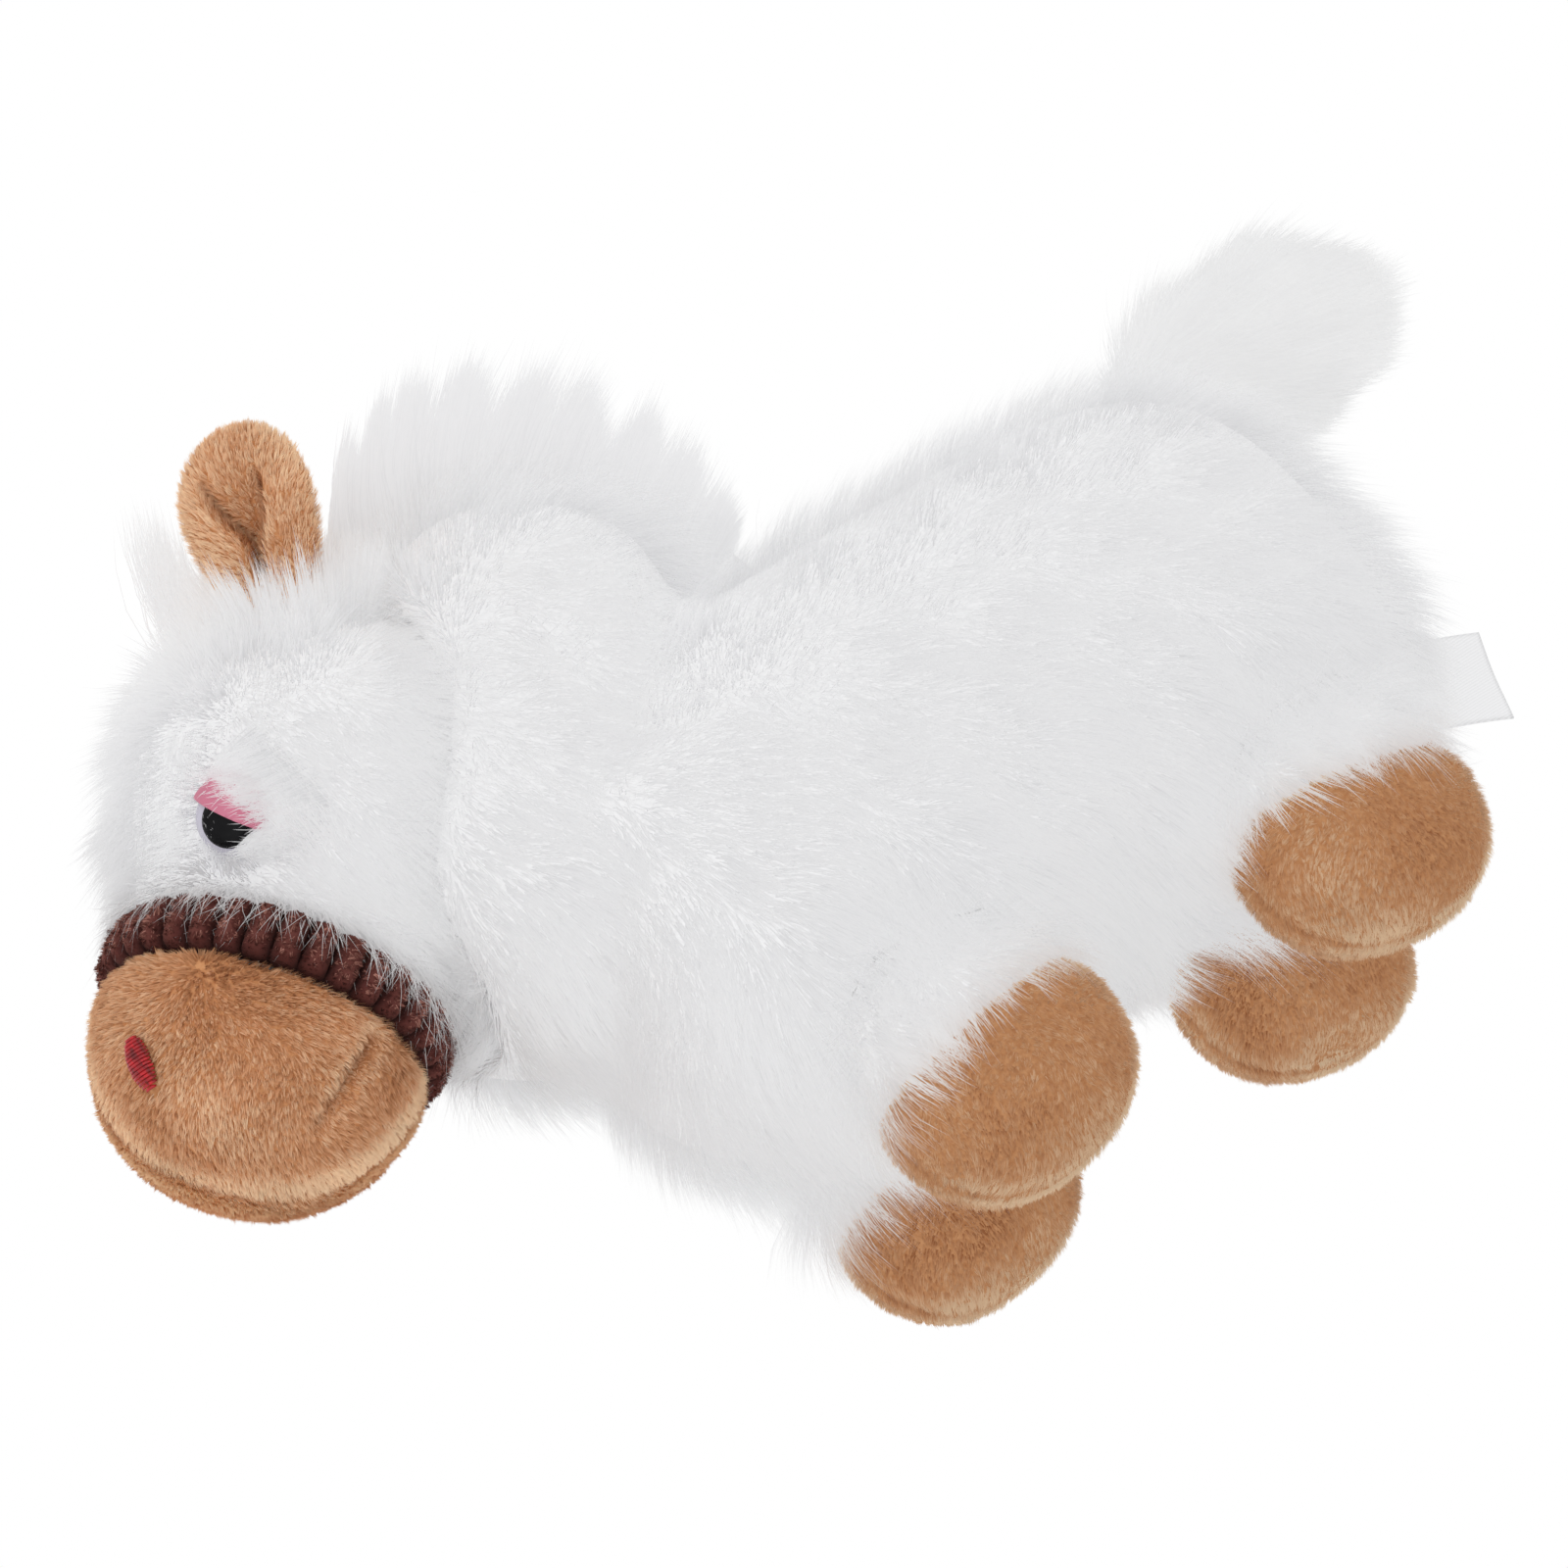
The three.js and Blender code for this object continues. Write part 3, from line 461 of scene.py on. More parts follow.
def airy(piece):
    """Lets a piece's surroundings be lit as if it weren't there, as white hairs pass most light on."""
    piece.visible_shadow = False
    piece.visible_diffuse = False


def tapered(name, path, normals, width, pile, tone, painted_root_shade):
    """Flat ribbons along given paths; coloured pile takes its normals mostly from the skin below."""
    count, stops = path.shape[:2]
    segments = stops - 1
    across = unit(np.cross(path[:, -1] - path[:, 0], normals))[:, None, :]
    taper = np.linspace(1.0, 0.55, segments)
    half = (width / 2 * chance.uniform(0.7, 1.25, count))[:, None, None] * taper[None, :, None]
    pairs = np.stack([path[:, :-1] - across * half, path[:, :-1] + across * half], 2)
    rows = np.concatenate([pairs.reshape(count, -1, 3), path[:, -1:]], 1)
    each = 2 * segments + 1
    quads = [[2 * k, 2 * k + 1, 2 * k + 3, 2 * k + 2] for k in range(segments - 1)]
    pattern = np.array([v for quad in quads for v in quad] + [each - 3, each - 2, each - 1])
    corners = (np.arange(count)[:, None] * each + pattern[None, :]).ravel()
    piece = build(name, rows.reshape(-1, 3), np.tile([4] * (segments - 1) + [3], count), corners, pile)
    if pile is white_pile:
        airy(piece)
    else:
        leaf = unit(np.cross(across[:, 0], path[:, -1] - path[:, 0]))
        leaf *= np.sign((leaf * normals).sum(1, keepdims=True))
        shown = unit(normals * ROUND_SHARE + leaf * (1 - ROUND_SHARE))
        piece.data.normals_split_custom_set_from_vertices(np.repeat(shown, each, 0))
    # Painted shade: each strand is painted darker at its root and paler towards its tip, for the shade
    # deep in the pile.
    rise = np.repeat(np.arange(segments + 1) / segments, 2)[:each]
    give_shade(piece, (tone[:, None] + painted_root_shade * rise[None, :] ** 0.7).clip(0, 1))
    return piece


def strands(
    name, places, normals, flow, length, lift, width, pile, clumps, clumping=0.5, wander=0.25,
    segments=3, sink=STRAND_SINK, tone_spread=0.3, patches=0.0, raised_tone=0.0,
):
    """Hairs that leave the skin at one angle and end at another, gathered into clumps."""
    count = len(places)
    flow = unit(flow - normals * (flow * normals).sum(1, keepdims=True))
    side = np.cross(normals, flow)
    turn = wander * (waves(places, WANDER_LENGTH, 3) + chance.normal(size=count) * 0.6)
    flow = flow * np.cos(turn)[:, None] + side * np.sin(turn)[:, None]
    length = length * (1 + 0.17 * chance.normal(size=count)).clip(0.4, 1.6)
    leaning = chance.normal(size=count) * 0.14 + 0.16 * waves(places, LEAN_LENGTH, 8)
    path = [places - normals * sink]
    for k in range(segments):
        share = (k + 0.5) / segments
        angle = (lift[0] + (lift[1] - lift[0]) * share + leaning)[:, None]
        step = flow * np.cos(angle) + normals * np.sin(angle)
        path.append(path[-1] + step * (length / segments)[:, None])
    path = np.stack(path, 1)
    path[..., 0] = path[..., 0].clip(-WIDEST, WIDEST)
    tone = chance.random(count) * tone_spread + patches * waves(places, PATCH_LENGTH, 41)
    tone += raised_tone
    guides = chance.choice(count, clumps, replace=False)
    owner = guides[nearest(places, places[guides])]
    pull = path[owner, -1] - path[:, -1]
    gather = clumping * np.linspace(0, 1, segments + 1) ** 1.4
    path += pull[:, None, :] * gather[None, :, None]
    tone += chance.random(count)[owner] * tone_spread * 0.7
    # The last number sets how much darker the roots are painted: painted shade, weaker where the random
    # tone spreads wider.
    return tapered(name, path, normals, width, pile, tone, 0.95 - 1.7 * tone_spread)


def lifts(*degrees):
    """A strand's angles over the skin, at its root and at its tip."""
    return [radians(angle) for angle in degrees]


def same_way(places, *way):
    """One way, repeated for each place."""
    return np.tile(np.array(way, float), (len(places), 1))


def halves(name):
    """Two pieces of one fur, which take every other strand."""
    return {name: slice(0, None, 2), f"{name}_under": slice(1, None, 2)}.items()


def dress(piece, body, slot, *nodes):
    """Rides a piece on its body and hides the solids it stands for. slot is not used."""
    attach(piece, body)
    if nodes:
        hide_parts(*nodes)
    return piece


def white_skin(name, body, nodes, voxel, rounds, inset):
    """The cloth under long white fur."""
    return dress(skin(name, nodes, voxel, rounds, inset, white_backing), body, "long_white_fur", *nodes)


def white_fur(
    name, body, places, normals, flow, length, lift, width=FUR_WIDTH, part=slice(None), **how,
):
    """Long white strands that ride on a body, on a part of the given places."""

    def picked(values):
        return values[part] if np.shape(values)[:1] == (len(places),) else values

    spots = [picked(values) for values in (places, normals, flow, length)]
    fur = strands(name, *spots, [picked(values) for values in lift], width, white_pile, **how)
    return dress(fur, body, "long_white_fur")


def white_locks(name, body, path, normals, tone, painted_root_shade):
    """White hairs along given paths that ride on a body; their roots are painted darker, as painted
    shade.
    """
    hairs = tapered(name, path, normals, LONG_WIDTH, white_pile, tone, painted_root_shade)
    return dress(hairs, body, "long_white_fur")


# Camera, light and stage
def add_camera():
    data = bpy.data.cameras.new("camera")
    data.lens = data.sensor_width * PHOTO_FOCAL_SHARE
    camera = bpy.data.objects.new("camera", data)
    right = (CAMERA_RIGHT - CAMERA_BACK * CAMERA_RIGHT.dot(CAMERA_BACK)).normalized()
    turn = Matrix((right, CAMERA_BACK.cross(right), CAMERA_BACK)).transposed().to_4x4()
    camera.matrix_world = Matrix.Translation(CAMERA_TARGET + CAMERA_BACK * CAMERA_DISTANCE) @ turn
    bpy.context.scene.collection.objects.link(camera)
    bpy.context.scene.camera = camera


def add_light(name, place, size, power):
    data = bpy.data.lights.new(name, "AREA")
    data.shape = "DISK"
    data.size = size
    data.energy = power
    lamp = bpy.data.objects.new(name, data)
    lamp.location = place
    lamp.rotation_euler = (Vector(place) - CAMERA_TARGET).to_track_quat("Z", "Y").to_euler()
    bpy.context.scene.collection.objects.link(lamp)


def larger(tree, one, other):
    return shader_node(tree, "Math", {0: one, 1: other}, operation="MAXIMUM").outputs["Value"]


def add_world(level):
    """Even light at a plain level; what looks straight at it sees white."""
    world = bpy.data.worlds.new("studio")
    world.use_nodes = True
    bpy.context.scene.world = world
    tree = world.node_tree
    rays = shader_node(tree, "LightPath").outputs
    seen = larger(tree, rays["Is Camera Ray"], rays["Is Transmission Ray"])
    strength = shader_node(tree, "MapRange", {"Value": seen, "To Min": level, "To Max": 1.0})
    background = tree.nodes["Background"].inputs
    background["Color"].default_value = (1, 1, 1, 1)
    feed(background["Strength"], strength.outputs["Result"])


def add_floor(half, fade):
    """A pale floor that holds the shadow. It ends softly, is clear from below, and lets light up."""
    made, tree = material("floor_paint", (250, 250, 250), 0.9)
    varied(tree, noise(tree, 40, 2), (0.0, (249, 249, 249)), (1.0, (252, 252, 252)))
    away = shader_node(tree, "VectorMath", {0: object_place(tree)}, operation="LENGTH").outputs["Value"]
    faded = shader_node(tree, "MapRange", {"Value": away, "From Min": fade[0], "From Max": fade[1]})
    below = shader_node(tree, "NewGeometry").outputs["Backfacing"]
    covered(tree, larger(tree, faded.outputs["Result"], below), shader_node(tree, "BsdfTransparent"))
    corners = [(-half, -half, 0), (half, -half, 0), (half, half, 0), (-half, half, 0)]
    floor = build_faces("floor", corners, [range(4)], made)
    airy(floor)


bpy.context.scene.view_settings.view_transform = "Standard"
add_camera()
for lamp_name, lamp in LAMPS.items():
    add_light(lamp_name, *lamp)
add_world(WORLD_LEVEL)
add_floor(FLOOR_HALF, FLOOR_FADE)


# Shared places from the frame
def band_place():
    """The way the noseband's ring faces, its middle, half its width and its radius."""
    points = node_points("noseband")
    way = main_ways(points)[2]
    way = way * -np.sign(way[1])
    middle = (points.min(0) + points.max(0)) / 2
    along = (points - middle) @ way
    middle = middle + way * (along.max() + along.min()) / 2
    around = (points - middle) - np.outer((points - middle) @ way, way)
    return way, middle, (along.max() - along.min()) / 2, lengths(around).max()


def eye_place(side):
    """The eye's axes as rows, its crown, and the way its lid lies from its middle."""
    washer = node_points(f"eye_washer_{side}")
    centre = washer.mean(0)
    outward = main_ways(washer)[2]
    outward = outward * np.sign((centre - head_centre) @ outward)
    across = unit(np.cross([0, 0, 1], outward))
    crown = centre + outward * ((node_points(f"eye_{side}") - centre) @ outward).max()
    lid = node_points(f"eyelid_{side}").mean(0) - crown
    lid = unit(lid - outward * (lid @ outward))
    return np.stack([across, np.cross(outward, across), outward]), crown, lid


joints = {joint["name"]: joint for joint in frame["joints"]}
head_centre = np.array(joints["head_nod"]["pos_m"])
nose_way, band_middle, band_half, band_radius = band_place()
pupils = {side: node_points(f"pupil_{side}").mean(0) for side in SIDES}
eyes = {side: eye_place(side) for side in SIDES}


def ahead_of_band(points):
    """How far points lie ahead of the noseband's middle plane."""
    return (points - band_middle) @ nose_way


def hoof_nodes(leg):
    return [f"hoof_{part}_{leg}" for part in ("outer", "inner", "stuffing")]


# Body and neck
BODY_VOXEL = 2.5 * MM
BODY_INSET = 2.5 * MM
BODY_PILE = 14.5 * MM
BODY_WAVE = 50 * MM
BODY_STRANDS = 150000
SEAT_EDGE = 44.5 * MM
SEAT_WAY = unit([0, 0.8, -0.6])
SEAT_FADE = (43 * MM, 56 * MM)
SEAT_DEPTH = 26 * MM
SEAT_RIM = 6 * MM
SEAT_NEAR = 14 * MM

# Where the body is drawn in over each leg, and where its fur hangs over it
LEG_TOP = 8 * MM
LEG_DRAW = 9 * MM
FLANK_DRAW = 6 * MM
FLANK = (14 * MM, 34 * MM)
DRAW_BACK = 24 * MM
DRAW_UP = 16 * MM
CURTAIN_UP = 28 * MM

# Wisps in the neck's seam
WISP_LENGTH = 10 * MM
WISP_WAVES = (9 * MM, 7 * MM)
RIM_REACH = 60 * MM
WISPS = 4200


def body_inset(points):
    return BODY_INSET * smoothstep(*SEAT_FADE, lengths(points - head_centre))


def from_leg_top(points, leg):
    """How far back and up points lie from a leg's top, if on its side, and half the leg's breadth."""
    low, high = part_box(f"leg_fur_{leg}")
    back = points[:, 1] - (low.y + high.y) / 2
    up = points[:, 2] - high.z + LEG_TOP
    return back, up, points[:, 0] * (low.x + high.x) > 0, (high.y - low.y) / 2


def in_seat(points, normals, edge):
    """Which points lie in the neck's hollow seat for the head."""
    away = points - head_centre
    return (lengths(away) < edge) & ((unit(away) * normals).sum(1) < -0.3)


def draw_in_over_legs(body):
    points, normals = coordinates(body.data), smooth_normals(body.data)
    for leg in LEGS:
        back, up, beside, _half = from_leg_top(points, leg)
        drop = LEG_DRAW + FLANK_DRAW * smoothstep(*FLANK, np.abs(points[:, 0]))
        drop *= bell(back, DRAW_BACK) * bell(up, DRAW_UP)
        points[:, 2] -= drop * beside * (1 - smoothstep(-0.1, 0.5, normals[:, 2]))
    place_vertices(body.data, points)


def dress_body():
    nodes = ["body_cover_left", "body_cover_right", "belly_gusset", "torso_stuffing", "neck_stuffing"]
    body = white_skin("body_skin", "torso", nodes, BODY_VOXEL, 8, body_inset)
    draw_in_over_legs(body)

    def furred(points, normals):
        deep = (points - head_centre) @ SEAT_WAY > SEAT_DEPTH
        return ~(in_seat(points, normals, SEAT_EDGE) & deep)

    places, normals = scattered(body.data, BODY_STRANDS, furred)
    top = smoothstep(0.4, 1.0, normals[:, 2])
    from_head = places - head_centre
    near = 1 - smoothstep(SEAT_EDGE, SEAT_EDGE + SEAT_NEAR, lengths(from_head))
    seated = in_seat(places, normals, SEAT_EDGE + SEAT_RIM)
    flow = same_way(places, 0, 0.12, -1)
    flow[:, 1] += 0.3 * waves(places, BODY_WAVE, 5) + 1.1 * top
    flow += near[:, None] * (0.7 * unit(-from_head) + 0.3 * normals)
    flow[seated] = -SEAT_WAY
    over = np.zeros(len(places))
    for leg in LEGS:
        back, up, beside, half = from_leg_top(places, leg)
        gap = np.hypot(back / (1.5 * half), up / CURTAIN_UP)
        over = np.maximum(over, beside * (1 - gap).clip(0, 0.5) * 2)
    length = BODY_PILE * (1 + 0.05 * near) * (1 + 0.2 * smoothstep(0.6, 0.95, normals[:, 1]))
    length = length * (1 + 0.6 * over)
    hanging = np.arcsin((-normals[:, 2]).clip(0, 1))
    rise = radians(62) + 0.1 * near
    rise = rise + (np.maximum(radians(42), hanging) - rise) * over
    end_rise = radians(30) + 0.25 * near - 0.15 * top
    end_rise = end_rise + (radians(4) + hanging - end_rise) * over
    lift = (np.where(seated, radians(30), rise), np.where(seated, radians(14), end_rise))
    cut = np.median(places[:, 1])
    for side, towards in SIDES.items():
        for end, ahead in (("front", 1), ("rear", -1)):
            chosen = (places[:, 0] * towards >= 0) & ((cut - places[:, 1]) * ahead >= 0)
            white_fur(
                f"body_fur_{end}_{side}", "torso", places, normals, flow, length, lift, part=chosen,
                clumps=4200, clumping=0.32, tone_spread=0.2,
            )
    dress_neck_seam(body)


def dress_neck_seam(body):
    """Wisps caught in the neck's seam, which lie over the hollow behind the chin."""

    def at_rim(points, normals):
        away = points - head_centre
        facing = (unit(away) * normals).sum(1)
        near = (lengths(away) < RIM_REACH) & (away @ SEAT_WAY > 0) & (away[:, 2] < 0)
        return (facing > -0.8) & (facing < 0.3) & near

    places, normals = scattered(body.data, WISPS, at_rim)
    flow = same_way(places, 0, -0.8, 0.5)
    flow[:, 0] += 0.4 * waves(places, WISP_WAVES[0], 31)
    flow[:, 2] += 0.6 * waves(places, WISP_WAVES[1], 32)
    white_fur(
        "neck_wisps", "torso", places, normals, flow, WISP_LENGTH, lifts(40, 10), LOOSE_WIDTH,
        clumps=420, wander=0.8,
    )


# Legs
LEG_VOXEL = 2 * MM
LEG_INSET = 2 * MM
LEG_TAPER = 6 * MM
LEG_FOOT = 6 * MM
LEG_STRANDS = 14000


def dress_legs():
    for leg in LEGS:
        solid = f"leg_fur_{leg}"
        low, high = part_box(solid)

        def leg_inset(points, low=low.z, high=high.z):
            return LEG_INSET + LEG_TAPER * smoothstep(low + LEG_FOOT, high, points[:, 2])

        sleeve = skin(f"leg_skin_{leg}", [solid], LEG_VOXEL, 6, leg_inset, white_backing)
        airy(sleeve)
        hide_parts(solid)
        places, normals = scattered(sleeve.data, LEG_STRANDS)
        length = BODY_PILE * (1 + 0.3 * smoothstep(0.2, 0.9, -normals[:, 1]) * ("front" in leg))
        fringe = strands(
            f"leg_fringe_{leg}", places, normals, (0, 0.05, -1), length, lifts(55, 8), FUR_WIDTH,
            white_pile, clumps=800, clumping=0.42, wander=0.4, tone_spread=0.2,
        )
        for piece in (sleeve, fringe):
            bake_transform(piece)


# Head
HEAD_VOXEL = 2 * MM
HEAD_INSET = 2 * MM
HEAD_BACK = (-8 * MM, 10 * MM)
HEAD_PILE = 13 * MM
HEAD_STRANDS = 52000
BAND_TUCK = 0.5 * MM
BAND_SHORT = 13 * MM
EYE_BARE = 8.9 * MM
EYE_BARE_BACK = 7.2 * MM
EYE_BACK = 3 * MM
LID_LEAN = 7 * MM
EYE_SHORT = (8 * MM, 13 * MM)
EYE_RAISED = (9 * MM, 18 * MM)
FRINGE_REACH = 5 * MM
FRINGE_LENGTH = 13.5 * MM
FRINGE_STRANDS = 4600
EAR_FUR_REACH = (3 * MM, 17 * MM)
EAR_FUR_LENGTH = 16.5 * MM
EAR_FUR_STRANDS = 2600


def head_inset(points):
    away = points - head_centre
    return HEAD_INSET * (1 - 0.8 * smoothstep(*HEAD_BACK, away[:, 1] - 0.35 * away[:, 2]))


def eye_gaps(points):
    """For each eye, how far points lie from its pupil, and how far towards its lid."""
    return [(lengths(points - pupils[side]), (points - pupils[side]) @ eyes[side][2]) for side in SIDES]


def dress_head():
    nodes = ["head_cover_left", "head_cover_right", "head_stuffing"]
    head = white_skin("head_skin", "head", nodes, HEAD_VOXEL, 6, head_inset)

    def furred(points, _normals):
        shown = ahead_of_band(points) < -band_half + BAND_TUCK
        for gap, back in eye_gaps(points):
            shown &= gap > np.where(back > EYE_BACK, EYE_BARE_BACK, EYE_BARE)
        return shown

    places, normals = scattered(head.data, HEAD_STRANDS, furred)
    from_eye = np.full(len(places), np.inf)
    for gap, back in eye_gaps(places):
        from_eye = np.minimum(from_eye, gap * (1 + 0.6 * smoothstep(0, LID_LEAN, back)))
    from_band = -band_half - ahead_of_band(places)
    rearward = smoothstep(0.1, 0.75, normals[:, 1])
    flow = same_way(places, 0, 0.05, -1)
    flow[:, 1] += 1.1 * rearward
    length = HEAD_PILE * (0.62 + 0.38 * smoothstep(*EYE_SHORT, from_eye)) * (1 + 0.5 * rearward)
    length = length * (0.42 + 0.58 * smoothstep(0, BAND_SHORT, from_band))
    raised = smoothstep(0.1, 0.8, normals[:, 2]) * smoothstep(-0.6, 0.1, normals[:, 1])
    front = smoothstep(0.1, 0.8, -normals[:, 1])
    beside = 0.5 * (1 - smoothstep(*EYE_RAISED, from_eye))
    lift = (
        radians(58) + 0.3 * raised + 0.4 * beside - 0.1 * front,
        radians(26) + 0.45 * raised + beside - 0.12 * front,
    )
    for name, part in halves("head_fur"):
        white_fur(
            name, "head", places, normals, flow, length, lift, part=part,
            clumps=3600, clumping=0.32, tone_spread=0.2,
        )
    fringe_over_band(head)
    lashes_over_eyes()
    fur_round_ears(head)


def fringe_over_band(head):
    """Loose white hairs that hang over the rear edge of the noseband."""

    def edge(points, _normals):
        back = -band_half - ahead_of_band(points)
        return (back > -BAND_TUCK) & (back < FRINGE_REACH)

    places, normals = scattered(head.data, FRINGE_STRANDS, edge)
    flow = np.array([0, -0.2, -0.5]) + nose_way * 1.3
    white_fur(
        "band_fringe", "head", places, normals, flow, FRINGE_LENGTH, lifts(62, 10), LOOSE_WIDTH,
        clumps=900, clumping=0.3, wander=1.0,
    )


# Where the fur behind an eye ends over it: places towards the lid and towards the face's front
FUR_EDGE = np.array([
    (6.2, 8.6), (5.6, 6.4), (5.2, 4.0), (4.3, 1.5), (3.3, -0.6), (2.9, -4.4), (1.1, -6.3), (-1.3, -6.1),
    (-4.0, -5.4), (-6.0, -3.6),
]) * MM
HAIR_WAY = (-0.63, 0.79)
HAIR_COUNT = 1500
HAIR_STEPS = np.linspace(0, 1, 6)
HAIR_LENGTH = (5.5 * MM, 9.5 * MM)
HAIR_ROUGH = 0.45 * MM
HAIR_SHORT = 4.5 * MM
HAIR_PAST = (1 * MM, 6 * MM)
HAIR_ROOT = 8.2 * MM
HAIR_CLEAR = 0.1 * MM
HAIR_RISE = 0.7 * MM
HAIR_SUNK = 4.5 * MM
HAIR_DRIFT = 0.5 * MM


def along_line(line, share):
    """Points at shares of the way along a line, where each stretch counts alike."""
    where = np.linspace(0, 1, len(line))
    return np.stack([np.interp(share, where, line[:, k]) for k in range(line.shape[1])], 1)


def lashes_over_eyes():
    """Fur behind each eye leans forward over a part of its lid and pupil."""
    lid_radius, lid_height = EYE_RADIUS + LID_OUTER, EYE_DOME + LID_OUTER
    for side, towards in SIDES.items():
        axes, crown, lid = eyes[side]
        outward = axes[2]
        ways = np.stack([lid, np.cross(outward, lid) * towards, outward])
        end = along_line(FUR_EDGE, chance.random(HAIR_COUNT))
        turn = chance.normal(size=HAIR_COUNT) * 0.3
        way = stacked(
            HAIR_WAY[0] * np.cos(turn) - HAIR_WAY[1] * np.sin(turn),
            HAIR_WAY[1] * np.cos(turn) + HAIR_WAY[0] * np.sin(turn),
        )
        past = chance.normal(size=HAIR_COUNT) * HAIR_ROUGH - chance.random(HAIR_COUNT) * HAIR_SHORT
        past += (chance.random(HAIR_COUNT) < 0.09) * chance.uniform(*HAIR_PAST, HAIR_COUNT)
        end = end + way * past[:, None]
        root = end - way * chance.uniform(*HAIR_LENGTH, HAIR_COUNT)[:, None]
        root *= (np.maximum(lengths(root), HAIR_ROOT) / lengths(root))[:, None]
        path = []
        for step in HAIR_STEPS:
            spot = root + (end - root) * step
            away = lengths(spot) / lid_radius
            height = lid_height * np.sqrt((1 - away**2).clip(0.06)) + HAIR_CLEAR + HAIR_RISE * step
            height = height - (HAIR_SUNK + lid_height * 0.2) * (1 - step) ** 2.2 - EYE_DOME
            path.append(crown + stacked(*spot.T, height) @ ways)
        path = np.stack(path, 1)
        path += chance.normal(size=(HAIR_COUNT, 1, 3)) * HAIR_DRIFT * HAIR_STEPS[None, :, None]
        # Roots painted darker than tips: painted shade.
        white_locks(f"eye_hairs_{side}", "head", path, outward, chance.random(HAIR_COUNT) * 0.5, 0.4)


def fur_round_ears(head):
    """Longer fur that stands up against the root of each ear."""
    upright = ear_axes()[1]
    for side, towards in SIDES.items():
        root = np.array(joints[f"ear_fold_{side}"]["pos_m"])

        def near(points, _normals, root=root):
            gap = lengths(points - root)
            return (gap > EAR_FUR_REACH[0]) & (gap < EAR_FUR_REACH[1])

        places, normals = scattered(head.data, EAR_FUR_STRANDS, near)
        flow = upright * (towards, 1, 1) + 0.35 * unit(places - root)
        white_fur(
            f"ear_root_fur_{side}", "head", places, normals, flow, EAR_FUR_LENGTH, lifts(80, 58),
            clumps=260, clumping=0.4, wander=0.3,
        )


# Short tan plush
TAN_PILE = 2.1 * MM
TAN_WIDTH = 0.3 * MM
TAN_SINK = 0.3 * MM
TAN_VOXEL = 2.5 * MM
TAN_INSET = 0.5 * MM
SEAM_REACH = 1.8 * MM
CLOTH_FRAMES = 20
CLOTH_PRESSURE = 4
MOST_SWELL = 1.2 * MM

# Muzzle: its darts' routes on the left side, and where its pile parts
MOUTH_DART = np.array([
    (23.4, -127.0, 96.8), (22.8, -133.2, 93.3), (21.5, -138.3, 91.2), (19.0, -143.4, 89.2),
]) * MM
CHEEK_PARTING = np.array([29.5, -147.0, 124.0]) * MM
BAND_JOIN = 2 * MM
MUZZLE_CORE = 8 * MM
MUZZLE_SEAM_DEPTH = 0.8 * MM
MUZZLE_SEAM_REACH = 1.3 * MM
DART_DEPTH = 3.0 * MM
DART_BARE = 0.9 * MM
# Width of the painted shade in the darts, then where and how wide the painted highlight beside them
# lies; the same for the mid seam.
DART_SHADE = 1.1 * MM
DART_HIGHLIGHT = (3 * MM, 1.2 * MM)
MIDDLE_SHADE = 0.8 * MM
MIDDLE_HIGHLIGHT = (5 * MM, 4 * MM)
MUZZLE_STRANDS = 62000

# Hooves
HOOF_SEAM_DEPTH = 0.5 * MM
HOOF_SEAM_REACH = 1.0 * MM
# Heights over which the sole's painted rim light fades; the width of the painted shade in the keel seam,
# then where and how wide the painted highlight beside it lies.
SOLE_RIM_LIGHT = (1 * MM, 9 * MM)
KEEL_SHADE = 0.8 * MM
KEEL_HIGHLIGHT = (3.2 * MM, 2.6 * MM)
HOOF_STRANDS = 30000
HOOF_FLOW = np.array([0, -0.6, -1])


def short_pile(name, base, count, flow, body, weight=None, length=TAN_PILE, paler=0.0, pile=tan_pile):
    places, normals = scattered(base.data, count, weight)
    ways = unit(at(places, flow))
    ways = ways + 0.3 * stacked(*(waves(places, PATCH_LENGTH, seed) for seed in (21, 22, 23)))
    short = strands(
        name, places, normals, ways, length, lifts(62, 30), TAN_WIDTH, pile, clumps=count // 10,
        segments=2, sink=TAN_SINK, wander=0.3, tone_spread=0.4, patches=0.2,
        raised_tone=at(places, paler),
    )
    return dress(short, body, "tan_plush")


def groove(piece, distance_to_seam, depth, reach):
    """Draws a skin in along a seam."""
    points, normals = coordinates(piece.data), smooth_normals(piece.data)
    pull = depth * bell(distance_to_seam(points), reach)
    place_vertices(piece.data, points - normals * pull[:, None])


def from_line(points, line):
    """Distance from points to a line of straight stretches."""
    best = np.full(len(points), np.inf)
    for a, b in zip(line[:-1], line[1:]):
        way = b - a
        share = np.clip((points - a) @ way / (way @ way), 0, 1)
        best = np.minimum(best, lengths(points - a - share[:, None] * way))
    return best


def from_darts(points):
    """Distance to the nearer of the mouth's two darts."""
    return np.minimum(*(from_line(points, MOUTH_DART * (towards, 1, 1)) for towards in SIDES.values()))


def muzzle_seams(points):
    """Distance to the muzzle's mid seam, its darts or its join with the band."""
    join = (ahead_of_band(points) - band_half - BAND_JOIN).clip(0)
    return np.minimum(np.minimum(np.abs(points[:, 0]), join), from_darts(points))


def hoof_seams(leg):
    """Gives the distance to a hoof's keel seam or its top."""
    low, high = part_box(f"hoof_outer_{leg}")
    inner_low, inner_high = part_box(f"hoof_inner_{leg}")
    middle = (min(low.x, inner_low.x) + max(high.x, inner_high.x)) / 2
    return lambda points: np.minimum(np.abs(points[:, 0] - middle), (high.z - points[:, 2]).clip(0))


